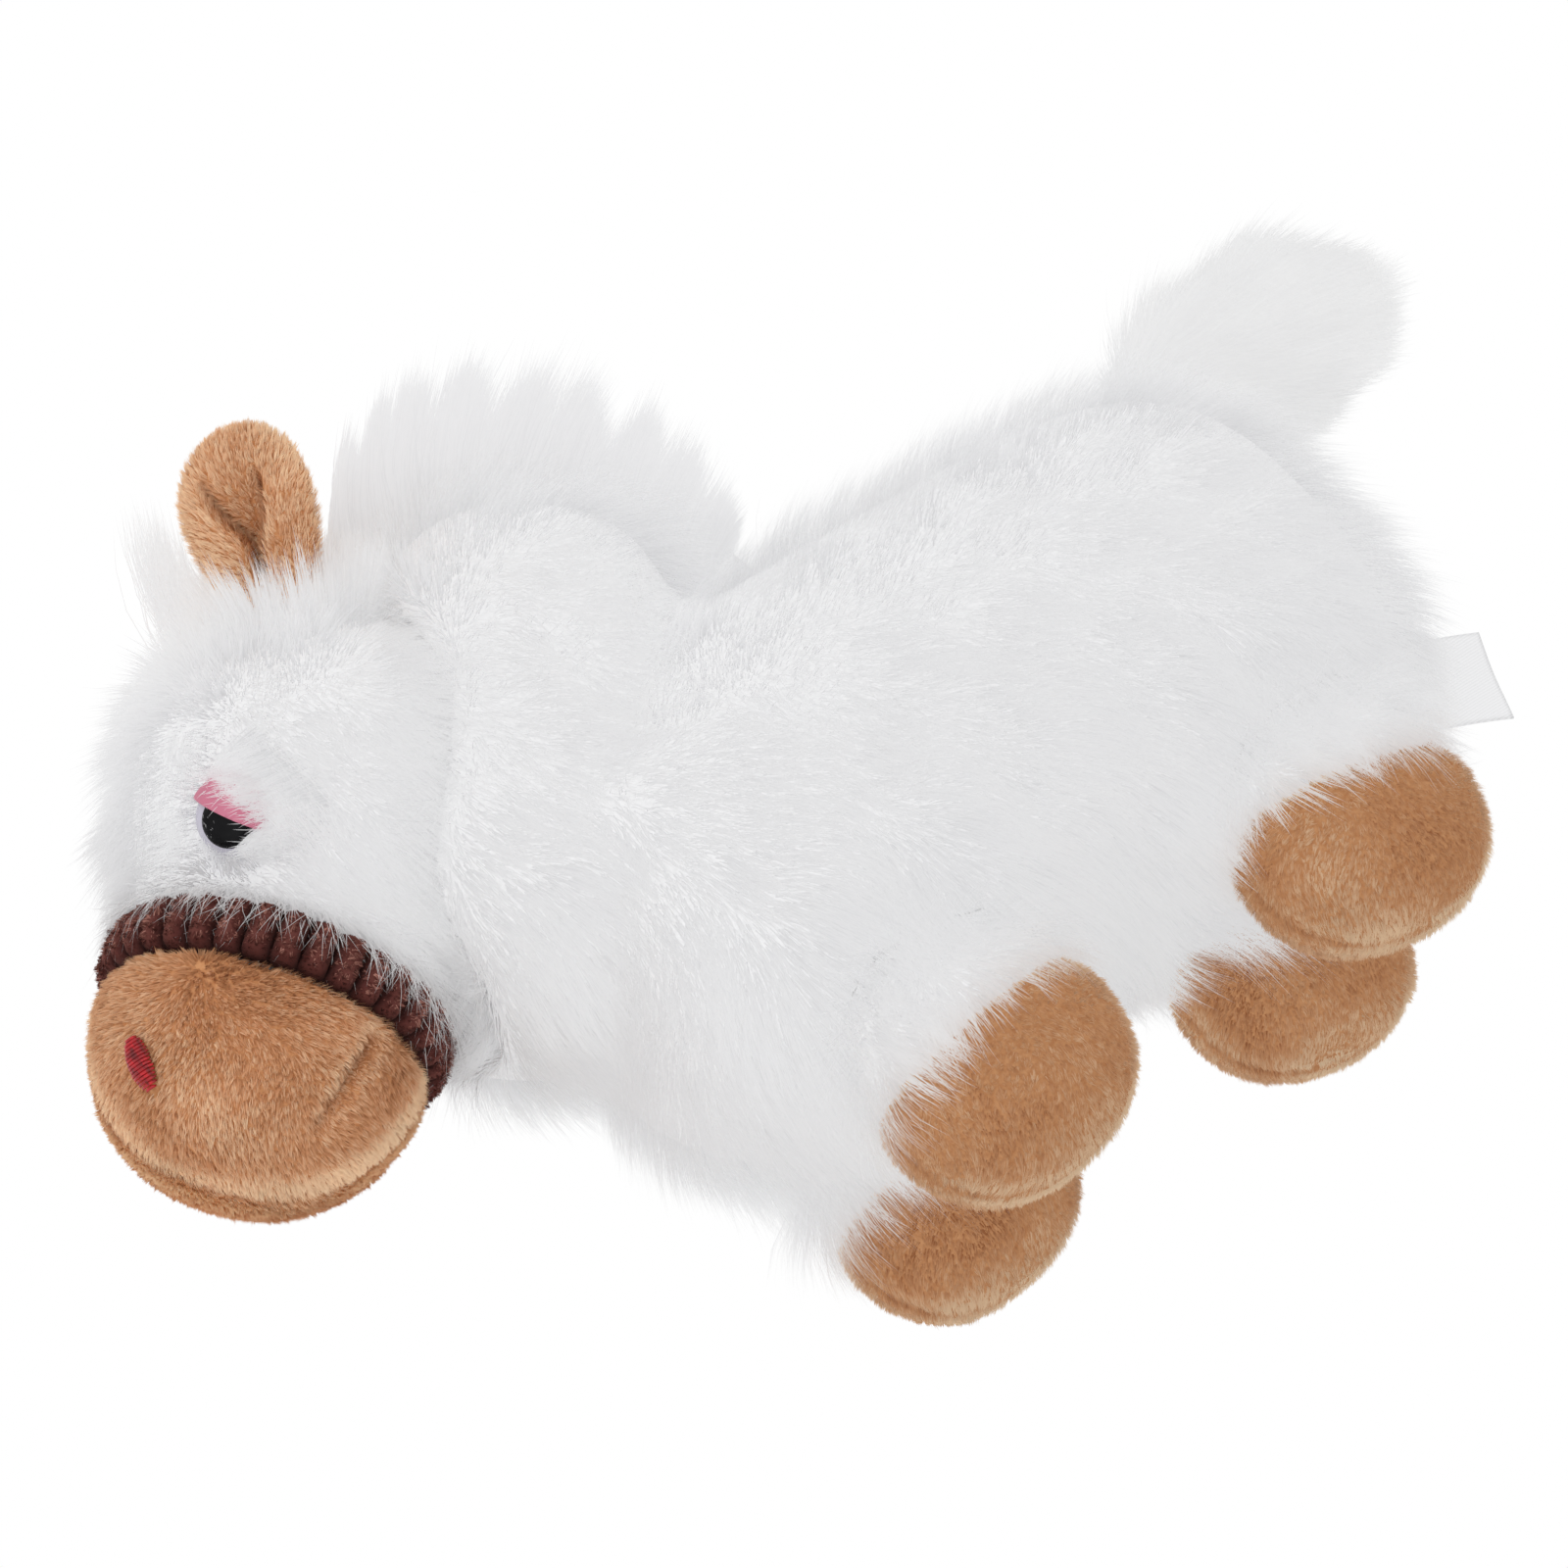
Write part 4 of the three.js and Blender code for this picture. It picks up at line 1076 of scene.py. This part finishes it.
def swelled(pieces):
    """The fill's pressure swells cloth skins, which their seams hold, by a small amount."""
    before = [coordinates(piece.data) for piece, _seams in pieces]
    for (piece, seams), points in zip(pieces, before):
        held = piece.vertex_groups.new(name="seams")
        for index, weight in enumerate(bell(seams(points), SEAM_REACH)):
            held.add([index], float(weight), "REPLACE")
        cloth = piece.modifiers.new("cloth", "CLOTH").settings
        cloth.vertex_group_mass = "seams"
        cloth.use_pressure = True
        cloth.uniform_pressure_force = CLOTH_PRESSURE
        cloth.effector_weights.gravity = 0
    scene = bpy.context.scene
    for step in range(1, CLOTH_FRAMES + 1):
        scene.frame_set(step)
    view = bpy.context.evaluated_depsgraph_get()
    after = [coordinates(piece.evaluated_get(view).data) for piece, _seams in pieces]
    for (piece, _seams), start, end in zip(pieces, before, after):
        piece.modifiers.clear()
        moved = end - start
        most = np.minimum(1, MOST_SWELL / np.maximum(lengths(moved), 1e-9))
        place_vertices(piece.data, start + moved * most[:, None])
    scene.frame_set(1)


def sewn_tan_skins():
    """The muzzle's and hooves' skins, swelled by their fill."""
    parts = {"muzzle": (["muzzle_left", "muzzle_right"], muzzle_seams)}
    for leg in LEGS:
        parts[f"hoof_{leg}"] = (hoof_nodes(leg), hoof_seams(leg))
    skins = {
        name: skin(f"{name}_skin", nodes, TAN_VOXEL, 2, TAN_INSET, tan_backing)
        for name, (nodes, _seams) in parts.items()
    }
    swelled([(skins[name], seams) for name, (_nodes, seams) in parts.items()])
    for piece in skins.values():
        modified(piece, "SUBSURF", levels=1)
        piece.data.shade_smooth()
    return skins


def dress_muzzle(muzzle):
    groove(muzzle, lambda points: points[:, 0], MUZZLE_SEAM_DEPTH, MUZZLE_SEAM_REACH)
    groove(muzzle, from_darts, DART_DEPTH, MUZZLE_SEAM_REACH)
    dress(muzzle, "head", "tan_plush", "muzzle_left", "muzzle_right")
    core = band_middle + nose_way * MUZZLE_CORE

    def outward(points, normals):
        shown = (((points - core) * normals).sum(1) > 0) & (from_darts(points) > DART_BARE)
        return shown & ~in_nostril(points, "left") & ~in_nostril(points, "right")

    def parted(points):
        away = points - CHEEK_PARTING * stacked(np.sign(points[:, 0]), 1, 1)
        return unit(away) + np.array([0, -0.15, -0.4])

    def seam_shade_and_highlight(points):
        """Painted shade in each dart and in the mid seam, and painted highlights beside them."""
        dart, middle = from_darts(points), np.abs(points[:, 0])
        tone = -1.0 * bell(dart, DART_SHADE) + 0.15 * bell(dart - DART_HIGHLIGHT[0], DART_HIGHLIGHT[1])
        tone -= 0.35 * bell(middle, MIDDLE_SHADE)
        return tone + 0.5 * bell(middle - MIDDLE_HIGHLIGHT[0], MIDDLE_HIGHLIGHT[1])

    short_pile("muzzle_pile", muzzle, MUZZLE_STRANDS, parted, "head", outward, paler=seam_shade_and_highlight)


def dress_hooves(skins):
    for leg in LEGS:
        hoof = skins[f"hoof_{leg}"]
        seams = hoof_seams(leg)
        groove(hoof, seams, HOOF_SEAM_DEPTH, HOOF_SEAM_REACH)
        dress(hoof, f"leg_{leg}", "tan_plush", *hoof_nodes(leg))

        def tone(points, seams=seams):
            """Painted light along the sole's rim, painted shade in the keel seam and along the top edge,
            and a painted highlight beside them.
            """
            sole = 0.45 * (1 - smoothstep(*SOLE_RIM_LIGHT, points[:, 2])) - 0.1
            keel = 0.4 * bell(seams(points) - KEEL_HIGHLIGHT[0], KEEL_HIGHLIGHT[1])
            return sole - 0.3 * bell(seams(points), KEEL_SHADE) + keel

        pile = short_pile(
            f"hoof_pile_{leg}", hoof, HOOF_STRANDS, HOOF_FLOW, f"leg_{leg}", paler=tone, pile=hoof_pile,
        )
        hoof.data.materials[0] = hoof_backing
        for piece in (hoof, pile):
            piece.visible_diffuse = False


# Ears: a soft cup whose side flaps fold forward and meet at the root
EAR_FACING = radians(30)
EAR_OUT = radians(8)
EAR_BACK = radians(26)
EAR_CENTRE = (-1.8 * MM, 21.5 * MM)
EAR_HALF = (13.2 * MM, 16.2 * MM)
EAR_LOWER = 23 * MM
EAR_SEAT = 4.6 * MM
EAR_REAR = 4.2 * MM
EAR_BEND = 0.012 / MM
EAR_PILE = 2.3 * MM
EAR_STRANDS = 20000

# The ear's front: where the slit and the crease run, as heights and places across, and what they shape
EAR_SLIT = np.array([(4, -2.2), (9.5, -2), (12.5, -2.2), (19.4, -6.4), (26.4, -8.8), (30, -9.4)]) * MM
EAR_CREASE = np.array([(4, -1.6), (9.5, -1.4), (17.6, 1.6), (23.5, 2.6), (28, 1.8)]) * MM
SLIT_EDGE = (-0.7 * MM, 0.5 * MM)
CREASE_EDGE = (-1.2 * MM, 1.2 * MM)
FLAP_FADE = (20 * MM, 31 * MM)
POCKET_FADE = (8 * MM, 27 * MM)
LINE_FADE = (25 * MM, 29 * MM)
FLAP_WIDTH = 4.5 * MM
FLAP_OVER_SLIT = 0.2 * MM
FLAP_OVER_CREASE = 0.6 * MM
FRONT_HEIGHT = 5.2 * MM
FLAP_HEIGHT = 2.4 * MM
POCKET_DEPTH = 7.4 * MM
LINE_DEPTH = 3.0 * MM
LINE_WIDTH = 0.9 * MM


def ear_axes():
    """The left ear's ways as rows: across it, up it and the way its open side faces."""
    facing = unit([math.cos(EAR_FACING), -math.sin(EAR_FACING), -math.tan(EAR_OUT)])
    across = unit(np.cross(unit([0, math.tan(EAR_BACK), 1]), facing))
    return np.stack([across, np.cross(facing, across), facing])


def rounded(rho):
    return np.sqrt(np.clip(1 - rho**3, 0, 1))


def ear_height(x, y, rho):
    """Height of the ear's open side over its middle sheet."""
    from_slit, from_crease = (x - np.interp(y, *line.T) for line in (EAR_SLIT, EAR_CREASE))
    inside = smoothstep(*SLIT_EDGE, from_slit) * smoothstep(*CREASE_EDGE, -from_crease)
    left = bell(from_slit + 0.7 * FLAP_WIDTH, FLAP_WIDTH) * (from_slit < FLAP_OVER_SLIT)
    right = bell(from_crease - 0.7 * FLAP_WIDTH, FLAP_WIDTH) * (from_crease > -FLAP_OVER_CREASE)
    height = FRONT_HEIGHT + FLAP_HEIGHT * (1 - smoothstep(*FLAP_FADE, y)) * (left + right)
    height = height - POCKET_DEPTH * (1 - smoothstep(*POCKET_FADE, y)) * inside
    lines = bell(from_slit, LINE_WIDTH) + 0.6 * bell(from_crease, LINE_WIDTH)
    return (height - LINE_DEPTH * (1 - smoothstep(*LINE_FADE, y)) * lines) * rounded(rho)


def ear_mesh(side):
    around, rings = 96, 34
    turn = circle(around)
    axes = ear_axes()
    layers = []
    for i in [*range(1, rings + 1), *range(1 - rings, 0)]:
        rho = (abs(i) / rings) ** 0.75
        x = EAR_CENTRE[0] + np.cos(turn) * EAR_HALF[0] * rho
        y = EAR_CENTRE[1] + np.sin(turn) * np.where(np.sin(turn) < 0, EAR_LOWER, EAR_HALF[1]) * rho
        z = ear_height(x, y, rho) if i > 0 else -EAR_REAR * rounded(rho)
        layers.append(stacked(x, y, z + EAR_SEAT + EAR_BEND * (x - EAR_CENTRE[0]) ** 2))
    points = np.concatenate(layers) @ axes + np.array(joints["ear_fold_left"]["pos_m"])
    faces = tube_faces(len(layers), around)
    if side == "right":
        points = points * (-1, 1, 1)
        faces = [face[::-1] for face in faces]
    ear = build_faces(f"ear_{side}_plush", points, faces, tan_backing)
    face_outward(ear, points.mean(0))
    return ear, axes[1] * (SIDES[side], 1, 1)


def dress_ears():
    for side in SIDES:
        ear, upright = ear_mesh(side)
        dress(ear, f"ear_{side}", "tan_plush", f"ear_back_{side}", f"ear_front_{side}")
        centre = coordinates(ear.data).mean(0)

        def upward(places, centre=centre, upright=upright):
            return unit(places - centre) * 0.7 + upright

        name, body = f"ear_pile_{side}", f"ear_{side}"
        short_pile(name, ear, EAR_STRANDS, upward, body, length=EAR_PILE, paler=0.3)


# Noseband: wide corduroy wales that run along the head
WALES = 36
BAND_OVERHANG = 0.3 * MM
BAND_SEAT = 2.4 * MM
WALE_HEIGHT = 3.0 * MM
EDGE_DROP = 0.9 * MM
BAND_SWAY = 0.35 * MM
SWAY_REACH = 30 * MM
SWAY_LENGTH = 20 * MM
BAND_THICKNESS = 3 * MM
NAP_LENGTH = 1.4 * MM
NAP_WIDTH = 0.34 * MM
NAP_SINK = 0.2 * MM
NAP_STRANDS = 26000


def dress_noseband():
    around, along = WALES * 14, 17
    half = band_half + BAND_OVERHANG
    seat = band_radius - BAND_SEAT
    up = unit(np.cross([1, 0, 0], nose_way))
    turn = circle(around)
    wave = np.abs(np.sin(turn * WALES / 2)) ** 0.55
    outward = np.outer(np.cos(turn), [1, 0, 0]) + np.outer(np.sin(turn), up)
    sway = BAND_SWAY * waves(outward * SWAY_REACH, SWAY_LENGTH, 31)
    inner = outward * (seat - BAND_THICKNESS)
    # The shade value paints shade into the grooves between wales, at the band's rolled edges and on its
    # inner rim.
    rows, shade = [band_middle - nose_way * half + inner], [wave * 0.2]
    for i in range(along):
        share = 2 * i / (along - 1) - 1
        edge = math.sqrt(max(0.0, 1 - abs(share) ** 5))
        swell = WALE_HEIGHT * wave * edge - EDGE_DROP * (1 - edge)
        centre = band_middle + nose_way * half * share
        rows.append(centre + outward * (seat + swell)[:, None] + nose_way * (sway * abs(share))[:, None])
        shade.append(wave**1.6 * (0.35 + 0.3 * edge))
    rows.append(band_middle + nose_way * half + inner)
    shade.append(wave * 0.2)
    faces = grid_faces(len(rows), around, closed=True)
    band = build_faces("corduroy_band", np.concatenate(rows), faces, corduroy)
    give_shade(band, np.concatenate(shade))
    face_outward(band, band_middle)
    dress(band, "head", "brown_corduroy", "noseband")

    def outer(points, ways):
        away = points - band_middle
        return (away * ways).sum(1) > 0.2 * lengths(away)

    places, normals = scattered(band.data, NAP_STRANDS, outer)
    away = places - band_middle
    depth = (lengths(away - np.outer(away @ nose_way, nose_way)) - seat) / BAND_THICKNESS
    flow = np.array([0, -0.4, -1]) + chance.normal(size=(len(places), 3)) * 0.8
    # Nap deep in the grooves is painted darker than nap on the crests: painted shade.
    nap = strands(
        "corduroy_nap", places, normals, flow, NAP_LENGTH * depth.clip(0.3, 1), lifts(66, 35), NAP_WIDTH,
        corduroy_nap, segments=2, sink=NAP_SINK, wander=0.9, clumps=2600, clumping=0.6,
        tone_spread=0.5, raised_tone=0.8 * (depth.clip(0, 1) - 0.65),
    )
    dress(nap, "head", "brown_corduroy")


# Mane: long brushed fur. Its roots and tips are places back and up, in the middle plane.
MANE_ROOTS = np.array([
    (-70, 190), (-58, 194), (-48, 195), (-38, 192), (-28, 184), (-19, 169), (-13, 156), (-4, 150),
]) * MM
MANE_TIPS = np.array([
    (-50, 224), (-38, 229), (-24, 233), (-8, 227), (9, 217), (16, 201), (19, 184), (14, 162),
]) * MM
MANE_TUFTS = 9
MANE_COUNT = 26000
MANE_VOXEL = 1.6 * MM
MANE_INSET = 3.6 * MM
MANE_CORE = 7 * MM
MANE_HALF = 5.5 * MM
MANE_SPREAD = (8.0 * MM, 1.8 * MM)
MANE_SAG = np.array([9.0, -3.0]) * MM
MANE_SINK = 3 * MM


def lower_mane_core(core):
    """Draws the mane's core down towards its roots."""
    points = coordinates(core.data)
    roots = along_line(MANE_ROOTS, np.linspace(0, 1, 80))
    flat = points[:, 1:]
    gaps = np.linalg.norm(flat[:, None, :] - roots[None, :, :], axis=2)
    closest, height = roots[gaps.argmin(1)], gaps.min(1)
    kept = np.minimum(height, MANE_CORE + (height - MANE_CORE) * 0.35)
    points[:, 1:] = closest + (flat - closest) * (kept / np.maximum(height, 1e-9))[:, None]
    place_vertices(core.data, points)


def dress_mane():
    lower_mane_core(white_skin("mane_skin", "torso", ["mane"], MANE_VOXEL, 6, MANE_INSET))
    share = chance.random(MANE_COUNT)
    ahead = (share + chance.normal(size=MANE_COUNT) * 0.02).clip(0, 1)
    tuft = np.abs(np.sin((share + 0.035 * np.sin(share * 23)) * math.pi * MANE_TUFTS))
    gathered = (np.round((ahead * MANE_TUFTS) - 0.5) + 0.8) / MANE_TUFTS
    ahead = ahead + (gathered - ahead) * 0.6 + chance.normal(size=MANE_COUNT) * 0.02
    root, tip = along_line(MANE_ROOTS, share), along_line(MANE_TIPS, ahead.clip(0, 1))
    reach = (0.72 + 0.28 * tuft) * chance.uniform(0.72, 1.05, MANE_COUNT)
    side = chance.normal(size=MANE_COUNT) * 0.5
    x_root = side.clip(-1, 1) * MANE_HALF
    x_tip = side.clip(-1.3, 1.3) * MANE_SPREAD[0] + chance.normal(size=MANE_COUNT) * MANE_SPREAD[1]
    path = []
    for step in np.linspace(0, 1, 5):
        flat = root + (tip - root) * (step * reach)[:, None] + MANE_SAG * (step**2 - step)
        path.append(stacked(x_root + (x_tip - x_root) * step**0.8, *flat.T))
    path = np.stack(path, 1)
    path[:, 0, 1:] -= unit(tip - root) * MANE_SINK
    normals = unit(stacked(np.sign(x_root + 1e-9), 0.1, 0.35))
    tone = chance.random(MANE_COUNT) * 0.3 + 0.1 + 0.1 * tuft
    half = MANE_COUNT // 2
    # The hairs are painted darker towards their roots: painted shade at the mane's base.
    for name, part in (("mane_fur", slice(0, half)), ("mane_fur_under", slice(half, None))):
        white_locks(name, "torso", path[part], normals[part], tone[part], 0.3)


# Forelock
FORELOCK_COUNT = 1500
FORELOCK_VOXEL = 1.2 * MM
FORELOCK_INSET = 2.5 * MM
FORELOCK_SPOT = (2.4 * MM, 3.2 * MM)
FORELOCK_FORWARD = 3 * MM
FORELOCK_SINK = 3 * MM
FORELOCK_TIP = np.array([0, 6.0, 44]) * MM
FORELOCK_BOW = np.array([0, -4.5, 0]) * MM
FORELOCK_DRIFT = (5.0 * MM, 1.8 * MM, 1.0 * MM)
FORELOCK_SHORTER = 0.03 / MM


def dress_forelock():
    white_skin("forelock_skin", "head", ["forelock"], FORELOCK_VOXEL, 4, FORELOCK_INSET)
    x, y = (chance.normal(size=(FORELOCK_COUNT, 2)) * FORELOCK_SPOT).T
    roots = stacked(x, y - FORELOCK_FORWARD, -np.abs(x) * 0.4 - FORELOCK_SINK)
    roots += node_points("forelock").mean(0)
    reach = 0.3 + 0.7 * chance.random(FORELOCK_COUNT) ** 1.5
    drift = chance.normal(size=(FORELOCK_COUNT, 3)).clip(-1.7, 1.7) * FORELOCK_DRIFT
    reach *= 1 - FORELOCK_SHORTER * np.abs(drift[:, 0])
    spread = drift - stacked(x, y, 0.0) * 0.5
    path = []
    for step in np.linspace(0, 1, 5):
        rise = FORELOCK_TIP * step + FORELOCK_BOW * math.sin(math.pi * step)
        path.append(roots + rise * reach[:, None] + spread * step**1.3)
    path = np.stack(path, 1)
    normals = unit(stacked(np.sign(x), -0.5, 0.2))
    tone = chance.random(FORELOCK_COUNT) * 0.3 + 0.2
    # The hairs are painted darker towards their roots: painted shade.
    white_locks("forelock_fur", "head", path, normals, tone, 0.45)


# Tail: its hairs fan out from a place in the rump
TAIL_FAN = np.array([0, 84, 151]) * MM
TAIL_VOXEL = 1.6 * MM
TAIL_INSET = 3.2 * MM
TAIL_LENGTH = 17 * MM
TAIL_WIDTH = 0.3 * MM
TAIL_STRANDS = 26000


def dress_tail():
    core = white_skin("tail_skin", "tail", ["tail"], TAIL_VOXEL, 5, TAIL_INSET)
    places, normals = scattered(core.data, TAIL_STRANDS)
    flow = unit(places - TAIL_FAN) + np.array([0, 0.1, -0.12])
    for name, part in halves("tail_fur"):
        white_fur(
            name, "tail", places, normals, flow, TAIL_LENGTH, lifts(34, 6), TAIL_WIDTH, part,
            clumps=520, clumping=0.4, wander=0.22, raised_tone=0.3,
        )


# Eyes
EYE_RADIUS = 7.25 * MM
EYE_DOME = 4.6 * MM
EYE_SKIRT = 1.2 * MM
EYE_HEM = 0.5 * MM
PUPIL_RADIUS = 5.6 * MM
PUPIL_DROP = 0.4 * MM
PUPIL_FOOT = 3.0 * MM
PUPIL_BASE = 2.4 * MM
PUPIL_DOME = 2.75 * MM
LID_OUTER = 1.3 * MM
LID_INNER = 0.7 * MM
LID_EDGE = 0.75 * MM
DOME_TIP = 0.05 * MM


def lathe(name, axes, origin, profile, around, paint):
    """A smooth turned form: profile pairs are radius and height along the third axis."""
    turn = circle(around)
    rings = [stacked(np.cos(turn) * radius, np.sin(turn) * radius, height) for radius, height in profile]
    points = np.concatenate(rings) @ axes + origin
    return build_faces(name, points, tube_faces(len(rings), around), paint)


def dome(radius, base, height, steps=14):
    turns = [math.pi / 2 * i / steps for i in range(steps + 1)]
    return [(max(DOME_TIP, math.cos(turn) * radius), base + math.sin(turn) * height) for turn in turns]


def dress_eyes():
    for side in SIDES:
        axes, crown, way = eyes[side]
        skirt = -EYE_DOME - EYE_SKIRT
        profile = [(EYE_RADIUS * 0.93, skirt - EYE_HEM), (EYE_RADIUS, skirt)]
        profile += dome(EYE_RADIUS, -EYE_DOME, EYE_DOME)
        ball = lathe(f"eye_ball_{side}", axes, crown, profile, 48, eye_gloss)
        dress(ball, "head", "eye_plastic", f"eye_{side}")
        shift = (pupils[side] - crown) @ axes.T
        spot = crown + axes[0] * shift[0] + axes[1] * (shift[1] - PUPIL_DROP)
        profile = [(PUPIL_RADIUS, -PUPIL_FOOT), *dome(PUPIL_RADIUS, -PUPIL_BASE, PUPIL_DOME)]
        disc = lathe(f"eye_pupil_{side}", axes, spot, profile, 48, pupil_gloss)
        dress(disc, "head", "black_plastic", f"pupil_{side}")
        top = dome(EYE_RADIUS + LID_OUTER, -EYE_DOME, EYE_DOME + LID_OUTER)
        under = dome(EYE_RADIUS + LID_INNER, -EYE_DOME, EYE_DOME + LID_INNER)[::-1]
        lid = lathe(f"eye_lid_{side}", axes, crown, under + top, 64, lid_gloss)
        cut_straight(lid, crown + way * LID_EDGE, way)
        dress(lid, "head", "pink_plastic", f"eyelid_{side}")


def cut_straight(lid, place, way):
    """Opens a turned shell's ends, keeps what lies beyond a plane, and closes its rims."""
    made = bmesh.new()
    made.from_mesh(lid.data)
    ends = [face for face in made.faces if len(face.verts) > 4]
    bmesh.ops.delete(made, geom=ends, context="FACES_ONLY")
    whole = made.verts[:] + made.edges[:] + made.faces[:]
    bmesh.ops.bisect_plane(made, geom=whole, plane_co=place, plane_no=way, clear_inner=True)
    bmesh.ops.holes_fill(made, edges=[edge for edge in made.edges if edge.is_boundary])
    bmesh.ops.recalc_face_normals(made, faces=made.faces[:])
    made.to_mesh(lid.data)
    made.free()
    lid.data.shade_smooth()


# Satin-stitched nostrils
NOSTRIL_TURN = radians(27)
NOSTRIL_DEPTH = 8 * MM
NOSTRIL_CLEAR = 6 * MM
RAY_LENGTH = 20 * MM
STITCH_RISE = 1.1 * MM
STITCH_SEAT = 1.3 * MM


def nostril_frame(side):
    """Middle, axes as rows with the long way first, and half sizes of a nostril."""
    pad = node_points(f"nostril_{side}")
    middle, axes = pad.mean(0), main_ways(pad)
    reach, breadth = (np.abs((pad - middle) @ axis).max() for axis in axes[:2])
    axes = axes * np.sign([axes[0, 2], axes[1, 0] * SIDES[side], -axes[2, 1]])[:, None]
    long_way = axes[0] * math.cos(NOSTRIL_TURN) + axes[1] * math.sin(NOSTRIL_TURN)
    return middle, np.stack([long_way, np.cross(axes[2], long_way), axes[2]]), reach, breadth


def in_nostril(points, side):
    middle, axes, reach, breadth = nostril_frame(side)
    local = (points - middle) @ axes.T
    inside = (local[:, 0] / reach) ** 2 + (local[:, 1] / breadth) ** 2 < 1.15
    return (np.abs(local[:, 2]) < NOSTRIL_DEPTH) & inside


def dress_nostrils(muzzle):
    surface = BVHTree.FromObject(muzzle, bpy.context.evaluated_depsgraph_get())
    stitches, steps, around = 15, 9, 6
    for side in SIDES:
        middle, (long_way, short_way, _through), reach, breadth = nostril_frame(side)
        outward = unit(middle - (band_middle + nose_way * MUZZLE_CORE))
        thread = reach / stitches * 1.08
        points, faces = [], []
        for i in range(stitches):
            along = (2 * (i + 0.5) / stitches - 1) * reach
            half = breadth * max(0.1, 1 - abs(along / reach) ** 2.6) ** 0.45 * chance.uniform(0.95, 1.04)
            faces += [[len(points) + v for v in face] for face in tube_faces(steps, around)]
            for share in np.linspace(-1, 1, steps):
                flat = middle + long_way * along + short_way * half * share
                start = flat + outward * NOSTRIL_CLEAR
                hit = surface.ray_cast(Vector(start), Vector(-outward), RAY_LENGTH)[0]
                ground = flat if hit is None else np.array(hit)
                crowned = math.sqrt(max(0.0, 1 - share * share)) * (1 - 0.5 * (along / reach) ** 2)
                lifted = ground + outward * (STITCH_RISE * crowned + STITCH_SEAT)
                radius = thread * (0.6 + 0.4 * math.sqrt(max(0.0, 1 - share**4)))
                for turn in circle(around):
                    aside = long_way * math.cos(turn) + outward * math.sin(turn)
                    points.append(lifted + aside * radius)
        patch = build_faces(f"nostril_stitches_{side}", points, faces, red_thread)
        dress(patch, "head", "red_thread", f"nostril_{side}")


# Care label, bare
LABEL_SEWN_IN = 3 * MM
LABEL_CURL = 1.6 * MM
LABEL_SHIFT = 0.8 * MM
LABEL_RIPPLE = 0.5 * MM
LABEL_HALF = 0.25 * MM


def dress_label():
    solid = node_points("care_label")
    middle = solid.mean(0)
    up = unit(np.array(joints["label_flap"]["axis"]))
    out = unit(np.cross([1, 0, 0], up))
    out *= np.sign(out[1])
    reaches = [(solid - middle) @ way for way in (out, up)]
    root, low = reaches[0].min() - LABEL_SEWN_IN, reaches[1].min()
    length, width = reaches[0].max() - root, reaches[1].max() - low
    rows, columns = 25, 19
    front = []
    for i in range(rows):
        for j in range(columns):
            a, b = i / (rows - 1), j / (columns - 1)
            curl = LABEL_CURL * math.sin(2.4 * a) - LABEL_SHIFT
            curl += LABEL_RIPPLE * math.sin(5 * b + 2 * i / rows)
            front.append(middle + out * (root + length * a) + up * (low + width * b) + (curl, 0, 0))
    front = np.array(front)
    thick = np.array([LABEL_HALF, 0, 0])
    size = rows * columns
    border = [*range(columns), *(i * columns + columns - 1 for i in range(1, rows))]
    border += [size - 1 - j for j in range(1, columns)] + [i * columns for i in range(rows - 2, 0, -1)]
    rim = [[a, a + size, b + size, b] for a, b in zip(border, border[1:] + border[:1])]
    quads = grid_faces(rows, columns, closed=False)
    faces = np.concatenate([quads, quads[:, ::-1] + size, np.array(rim)])
    label = build_faces("label_ribbon", np.concatenate([front + thick, front - thick]), faces, ribbon)
    dress(label, "label", "label_ribbon", "care_label")


dress_body()
dress_legs()
dress_head()
tan_skins = sewn_tan_skins()
dress_muzzle(tan_skins["muzzle"])
dress_hooves(tan_skins)
dress_ears()
dress_noseband()
dress_mane()
dress_forelock()
dress_tail()
dress_eyes()
dress_nostrils(tan_skins["muzzle"])
dress_label()
for side in SIDES:
    washer = frame["nodes"][f"eye_washer_{side}"]
    washer.data.materials.clear()
    washer.data.materials.append(washer_plastic)
